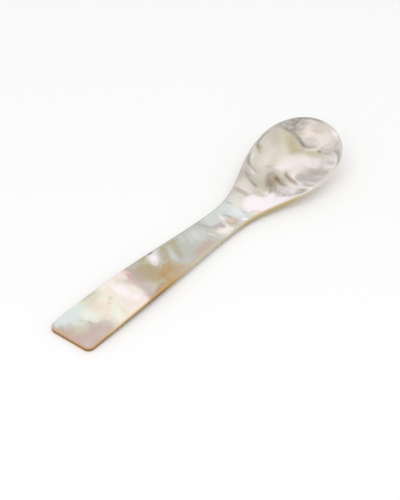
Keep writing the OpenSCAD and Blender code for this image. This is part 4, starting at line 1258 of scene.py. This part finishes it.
def ground_nacre(shape, colours, shell):
    """Nacre of a pearl oyster, ground and polished.

    Aragonite layers give a soft gloss with a faint play of pink and green over a pale
    body, and grinding through them leaves clouds, streaks and growth lines.
    """
    material, tree = new_material("Pearl oyster nacre, ground and polished")
    place = place_in_mm(tree, shape)
    warped, slight, slant, fan = combed(tree, grown_warp(tree, place, *NACRE_WARP))
    grains = {
        "grain": stretched_noise(tree, place, *FLECKS),
        "slant": slant,
        "fan": fan,
        "tip": stretched_noise(tree, warped, *MOTTLES),
    }
    sheared = add_node(tree, "ShaderNodeVectorMath", {"operation": "DOT_PRODUCT"},
                       {1: BODY_SHEAR}, {0: warped})
    paint = graded(tree, sheared.outputs[1], NACRE_BODY, colours, WHOLE_MM)
    paint = clouded(tree, paint, colours, (place, slight, warped), grains)
    paint = streaked(tree, place, paint, grains)
    for sizes, tint in PLAY:
        noise = stretched_noise(tree, warped, SLANT, sizes, *PLAY_RISE)
        tinted = add_node(tree, "ShaderNodeMix", MULTIPLIED, {0: 1.0, 7: tint}, {6: paint})
        paint = add_node(tree, "ShaderNodeMix", LAID_OVER,
                         links={0: noise, 6: paint, 7: tinted.outputs[2]}).outputs[2]
    paint = contoured(tree, place, paint, NACRE_CONTOURS)
    for name in STROKE_COLOURS:
        line = add_node(tree, "ShaderNodeAttribute", {"attribute_name": "line_" + name})
        paint = add_node(tree, "ShaderNodeMix", LAID_OVER, {7: rgba(getattr(colours, name))},
                         {0: line.outputs[2], 6: paint}).outputs[2]
    paint = nacre_edges(tree, place, paint, colours, shell)
    scratches = stretched_noise(tree, place, *SCRATCHES)
    polished(tree, place, paint, scratches, NACRE_FINISH, NACRE_SKIN)
    return material


def contoured(tree, place, paint, contours):
    """Contour lines where the carving cuts through the grown layers.

    The layers lie nearly level, so their lines follow the depth of the surface. The
    contours say how far apart they are in mm of depth and how much they shade.
    """
    apart, dark, light = contours
    depth = add_node(tree, "ShaderNodeAttribute", {"attribute_name": "depth_mm"})
    stack = add_node(tree, "ShaderNodeCombineXYZ", links={2: depth.outputs[2]})
    drift = add_node(tree, "ShaderNodeVectorMath", TIMES_PLUS, {1: (CONTOUR_DRIFT,) * 3},
                     {0: place, 2: stack.outputs[0]})
    layers = stretched_noise(tree, drift.outputs[0], 0, (1.0, 1.0, apart), *CONTOUR_RISE)
    tone = add_node(tree, "ShaderNodeMapRange", values={3: dark, 4: light}, links={0: layers})
    return add_node(tree, "ShaderNodeMix", MULTIPLIED, {0: 1.0},
                    {6: paint, 7: tone.outputs[0]}).outputs[2]


def polished(tree, place, paint, relief, finish, values):
    """Ends a material as a polished surface with patches of gloss and fine relief."""
    least, most, strength, depth = finish
    patches = stretched_noise(tree, place, *GLOSS_PATCHES)
    gloss = add_node(tree, "ShaderNodeMapRange", values={3: least, 4: most},
                     links={0: patches})
    bump = add_node(tree, "ShaderNodeBump",
                    values={"Strength": strength, "Distance": depth * MM},
                    links={"Height": relief})
    skin = add_node(tree, "ShaderNodeBsdfPrincipled", values=values,
                    links={"Base Color": paint, "Roughness": gloss.outputs[0],
                           "Normal": bump.outputs[0]})
    add_node(tree, "ShaderNodeOutputMaterial", links={"Surface": skin.outputs[0]})


def nacre_edges(tree, place, paint, colours, shell):
    """A grey line of painted shade along the far edge, and the tone of the nacre's cut side."""
    parts = add_node(tree, "ShaderNodeSeparateXYZ", links={0: place})
    inside = add_node(tree, "ShaderNodeAttribute", {"attribute_name": "edge_mm"})
    # The grey line of painted shade along the far edge
    start, strongest, strength = EDGE_SHADE
    grey = add_node(tree, "ShaderNodeMapRange", SOFT_STEP,
                    {1: start, 2: strongest, 4: strength}, {0: inside.outputs[2]})
    for (start, stop), part in ((EDGE_SHADE_ACROSS, 1), (EDGE_SHADE_ALONG, 0)):
        share = add_node(tree, "ShaderNodeMapRange", SOFT_STEP, {1: start, 2: stop},
                         {0: parts.outputs[part]})
        grey = add_node(tree, "ShaderNodeMath", TIMES,
                        links={0: grey.outputs[0], 1: share.outputs[0]})
    paint = add_node(tree, "ShaderNodeMix", LAID_OVER, {7: rgba(colours.edge)},
                     {0: grey.outputs[0], 6: paint}).outputs[2]
    wall = graded(tree, parts.outputs[0], WALL_TOP, shell, WHOLE_MM)
    start, whole, strength = CUT_SIDE
    cut = add_node(tree, "ShaderNodeMapRange", SOFT_STEP,
                   {1: start, 2: whole, 4: strength}, {0: inside.outputs[2]})
    return add_node(tree, "ShaderNodeMix", LAID_OVER,
                    links={0: cut.outputs[0], 6: paint, 7: wall}).outputs[2]


def ground_back(tree, place, warped, colours):
    """The back, where grinding has cut through bands that grew out from the hinge."""
    along = add_node(tree, "ShaderNodeSeparateXYZ", links={0: warped}).outputs[0]
    body = graded(tree, along, BACK_BODY, colours, WHOLE_MM)
    grown = add_node(tree, "ShaderNodeVectorMath", {"operation": "DISTANCE"}, {1: HINGE},
                     {0: warped})
    row = add_node(tree, "ShaderNodeCombineXYZ", links={0: grown.outputs[1]})
    drift = add_node(tree, "ShaderNodeVectorMath", TIMES_PLUS,
                     {1: (BAND_BEND, BAND_BEND, 0.0)}, {0: place, 2: row.outputs[0]})
    laid = add_node(tree, "ShaderNodeTexNoise", values=BAND_NOISE,
                    links={"Vector": drift.outputs[0]})
    bands = graded(tree, laid.outputs[0], BACK_BANDS, colours, 1.0)
    paint = add_node(tree, "ShaderNodeMix", LAID_OVER, {0: BAND_SHARE},
                     {6: body, 7: bands}).outputs[2]
    for name, size, amount in BACK_SHEENS:
        cloud = stretched_noise(tree, warped, BACK_SLANT, (size, SHEEN_WIDTH * size, size),
                                *SHEEN_RISE)
        share = add_node(tree, "ShaderNodeMath", TIMES, {1: amount}, {0: cloud})
        paint = add_node(tree, "ShaderNodeMix", LAID_OVER, {7: rgba(getattr(colours, name))},
                         {0: share.outputs[0], 6: paint}).outputs[2]
    return paint


def ground_outer_shell(shape, colours):
    """Golden outer shell of a pearl oyster, ground and polished.

    Thin brown and honey layers show on edge in the wall and as contour lines on the
    back, under a soft gloss.
    """
    material, tree = new_material("Pearl oyster outer shell, ground and polished")
    place = place_in_mm(tree, shape)
    warped = grown_warp(tree, place, *SHELL_WARP)
    along = add_node(tree, "ShaderNodeSeparateXYZ", links={0: warped}).outputs[0]
    depth = add_node(tree, "ShaderNodeAttribute", {"attribute_name": "depth_mm"})
    high = graded(tree, along, WALL_TOP, colours, WHOLE_MM)
    low = graded(tree, along, WALL_FOOT, colours, WHOLE_MM)
    down = add_node(tree, "ShaderNodeMapRange", SOFT_STEP,
                    {1: WALL_FADE[0], 2: WALL_FADE[1]}, {0: depth.outputs[2]})
    wall = add_node(tree, "ShaderNodeMix", LAID_OVER,
                    links={0: down.outputs[0], 6: high, 7: low}).outputs[2]
    inside = add_node(tree, "ShaderNodeAttribute", {"attribute_name": "edge_mm"})
    under = add_node(tree, "ShaderNodeMapRange", SOFT_STEP,
                     {1: BACK_FADE[0], 2: BACK_FADE[1]}, {0: inside.outputs[2]})
    back = ground_back(tree, place, warped, colours)
    paint = add_node(tree, "ShaderNodeMix", LAID_OVER,
                     links={0: under.outputs[0], 6: wall, 7: back}).outputs[2]
    # Layers are 0.02 to 0.1 mm thick and are drawn about 0.3 mm thick, so that they show
    paint = contoured(tree, warped, paint, SHELL_CONTOURS)
    layers = stretched_noise(tree, warped, *LAYER_GRAIN)
    polished(tree, place, paint, layers, SHELL_FINISH, SHELL_SKIN)
    return material


class SPOON_OT_white_nacre(Operator):
    """Build the white nacre: upper face, dish, rim and the chip and growth line in them"""

    bl_idname = "spoon.white_nacre"
    bl_label = "White Nacre"

    def execute(self, context):
        scene = context.scene
        p = spoon_plan(scene.spoon_shape)
        lay_ribs(p)
        piece = layered_solid(p, "nacre_face", top_sheet(p), core_sheet(p), "upper", top_relief)
        add_strokes(p, piece)
        piece.data.materials.append(
            ground_nacre(scene.spoon_shape, scene.nacre_colours, scene.shell_colours))
        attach(piece, BODY)
        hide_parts("white_nacre")
        return {"FINISHED"}


def stroke_at(points, stroke, half_width):
    """How strongly a stroke shows at each point of the plan."""
    shows = np.zeros(len(points))
    for a, b in zip(stroke, stroke[1:]):
        a, b = np.array(a), np.array(b)
        run = b[:2] - a[:2]
        along = np.clip((points - a[:2]) @ run / (run @ run), 0, 1)
        gap = np.linalg.norm(points - a[:2] - along[:, None] * run, axis=1)
        strength = a[2] + along * (b[2] - a[2])
        shows = np.maximum(shows, strength * bump_at(gap, half_width))
    return shows


def add_strokes(p, piece):
    """Stores how strongly the strokes of each colour show at each point of the nacre."""
    co = np.zeros(len(piece.data.vertices) * 3, np.float32)
    piece.data.vertices.foreach_get("co", co)
    points = np.reshape(co, (-1, 3))[:, :2] / MM + (p.spoon_l / 2, 0)
    shows = {name: np.zeros(len(points)) for name in STROKE_COLOURS}
    shows["smoke"] = stroke_at(points, GROWTH_LINE, GROWTH_LINE_HALF)
    for name, half_width, stroke in STROKES:
        shows[name] = np.maximum(shows[name], stroke_at(points, stroke, half_width))
    for name, values in shows.items():
        attribute = piece.data.attributes.new("line_" + name, "FLOAT", "POINT")
        attribute.data.foreach_set("value", values.astype(np.float32))


class SPOON_OT_golden_shell(Operator):
    """Build the golden outer shell: side walls, wall of the square end and back"""

    bl_idname = "spoon.golden_shell"
    bl_label = "Golden Shell"

    def execute(self, context):
        scene = context.scene
        p = spoon_plan(scene.spoon_shape)
        lay_ribs(p)
        piece = layered_solid(p, "shell_back", core_sheet(p), belly_sheet(p), "lower",
                              back_relief)
        piece.data.materials.append(ground_outer_shell(scene.spoon_shape, scene.shell_colours))
        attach(piece, BODY)
        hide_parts("golden_shell")
        return {"FINISHED"}


def camera_turn(look):
    """Directions of the camera's back, right and up."""
    a, e = look.azimuth, look.elevation
    back = Vector((math.sin(a) * math.cos(e), -math.cos(a) * math.cos(e), math.sin(e)))
    right = Vector((math.cos(a), math.sin(a), 0.0))
    return back, right, back.cross(right)


class SPOON_OT_stage(Operator):
    """Build the floor, the soft light, the white backdrop and the camera"""

    bl_idname = "spoon.stage"
    bl_label = "Stage"

    def execute(self, context):
        look = context.scene.stage_look
        add_floor(context.scene, look)
        add_light(context.scene, look)
        add_camera(context.scene, look)
        context.scene.view_settings.view_transform = "Standard"
        return {"FINISHED"}


def shown_directly(tree):
    """1 for rays that see the backdrop straight, in gloss or through glass."""
    path = add_node(tree, "ShaderNodeLightPath")
    straight = add_node(tree, "ShaderNodeMath", {"operation": "MAXIMUM"},
                        links={0: path.outputs["Is Camera Ray"],
                               1: path.outputs["Is Glossy Ray"]})
    return add_node(tree, "ShaderNodeMath", {"operation": "MAXIMUM"},
                    links={0: straight.outputs[0],
                           1: path.outputs["Is Transmission Ray"]}).outputs[0]


def add_floor(scene, look):
    """A plain pale floor that keeps the spoon's shadow and fades into the backdrop."""
    mesh = bpy.data.meshes.new("floor")
    corners = [(x * FLOOR_HALF, y * FLOOR_HALF, 0)
               for x, y in ((-1, -1), (1, -1), (1, 1), (-1, 1))]
    mesh.from_pydata(corners, [], [(0, 1, 2, 3)])
    floor = bpy.data.objects.new("floor", mesh)
    scene.collection.objects.link(floor)
    material, tree = new_material("Matt white board, painted")
    board = add_node(tree, "ShaderNodeBsdfDiffuse", values={"Color": rgba(look.floor)})
    shown = add_node(tree, "ShaderNodeMath", TIMES, {1: FLOOR_GLOW},
                     {0: shown_directly(tree)})
    glow = add_node(tree, "ShaderNodeEmission", values={"Color": rgba(look.backdrop)},
                    links={"Strength": shown.outputs[0]})
    both = add_node(tree, "ShaderNodeAddShader", links={0: board.outputs[0], 1: glow.outputs[0]})
    add_node(tree, "ShaderNodeOutputMaterial", links={"Surface": both.outputs[0]})
    mesh.materials.append(material)


def add_light(scene, look):
    """An even sky and one large soft lamp, which together show colours as written."""
    world = bpy.data.worlds.new("Even white sky")
    scene.world = world
    world.use_nodes = True
    tree = world.node_tree
    tree.nodes.clear()
    sky = add_node(tree, "ShaderNodeBackground",
                   values={"Color": (1.0, 1.0, 1.0, 1.0), "Strength": SKY_SHARE})
    seen = add_node(tree, "ShaderNodeBackground",
                    values={"Color": rgba(look.backdrop), "Strength": 1.0})
    chosen = add_node(tree, "ShaderNodeMixShader",
                      links={0: shown_directly(tree), 1: sky.outputs[0], 2: seen.outputs[0]})
    add_node(tree, "ShaderNodeOutputWorld", links={"Surface": chosen.outputs[0]})
    lamp = bpy.data.lights.new("soft_lamp", "AREA")
    lamp.shape = "SQUARE"
    lamp.size = look.lamp_size
    holder = bpy.data.objects.new("soft_lamp", lamp)
    holder.location = (*LAMP_PLACE, look.lamp_height)
    holder.rotation_euler = Vector(holder.location).to_track_quat("Z", "Y").to_euler()
    # A lamp of this power gives its share of light at the table
    lamp.energy = LAMP_SHARE * math.pi ** 2 * holder.location.length_squared
    scene.collection.objects.link(holder)


def add_camera(scene, look):
    """The camera at the photograph's viewing angle."""
    back, _, _ = camera_turn(look)
    camera = bpy.data.cameras.new("camera")
    camera.sensor_width = SENSOR_WIDTH
    camera.lens = look.lens
    camera.clip_start = look.distance / CLIP_RATIO
    camera.clip_end = look.distance * CLIP_RATIO
    holder = bpy.data.objects.new("camera", camera)
    holder.location = Vector(LOOK_AT) * MM + look.distance * back
    holder.rotation_mode = "QUATERNION"
    holder.rotation_quaternion = (-back).to_track_quat("-Z", "Y")
    scene.collection.objects.link(holder)
    scene.camera = holder


class SPOON_PT_pieces(Panel):
    """Lists the spoon's pieces and their settings in the sidebar"""

    bl_idname = "SPOON_PT_pieces"
    bl_label = "Shell Spoon"
    bl_space_type = "VIEW_3D"
    bl_region_type = "UI"
    bl_category = "Shell Spoon"

    def draw(self, context):
        for operator in OPERATORS:
            self.layout.operator(operator.bl_idname)
        for group in SETTINGS:
            box = self.layout.box()
            settings = getattr(context.scene, group)
            for name in settings.__annotations__:
                box.prop(settings, name)


OPERATORS = (SPOON_OT_stage, SPOON_OT_white_nacre, SPOON_OT_golden_shell)
SETTINGS = {
    "spoon_shape": SpoonShape,
    "nacre_colours": NacreColours,
    "shell_colours": ShellColours,
    "stage_look": StageLook,
}
CLASSES = (*SETTINGS.values(), *OPERATORS, SPOON_PT_pieces)


def register():
    """Registers the classes and puts the settings on the scene."""
    for cls in CLASSES:
        bpy.utils.register_class(cls)
    for name, group in SETTINGS.items():
        setattr(bpy.types.Scene, name, PointerProperty(type=group))


def unregister():
    """Takes the settings off the scene and unregisters the classes."""
    for name in SETTINGS:
        delattr(bpy.types.Scene, name)
    for cls in reversed(CLASSES):
        bpy.utils.unregister_class(cls)


def main():
    """Builds the stage and the pieces."""
    register()
    bpy.ops.spoon.stage()
    bpy.ops.spoon.white_nacre()
    bpy.ops.spoon.golden_shell()


if __name__ == "__main__":
    main()
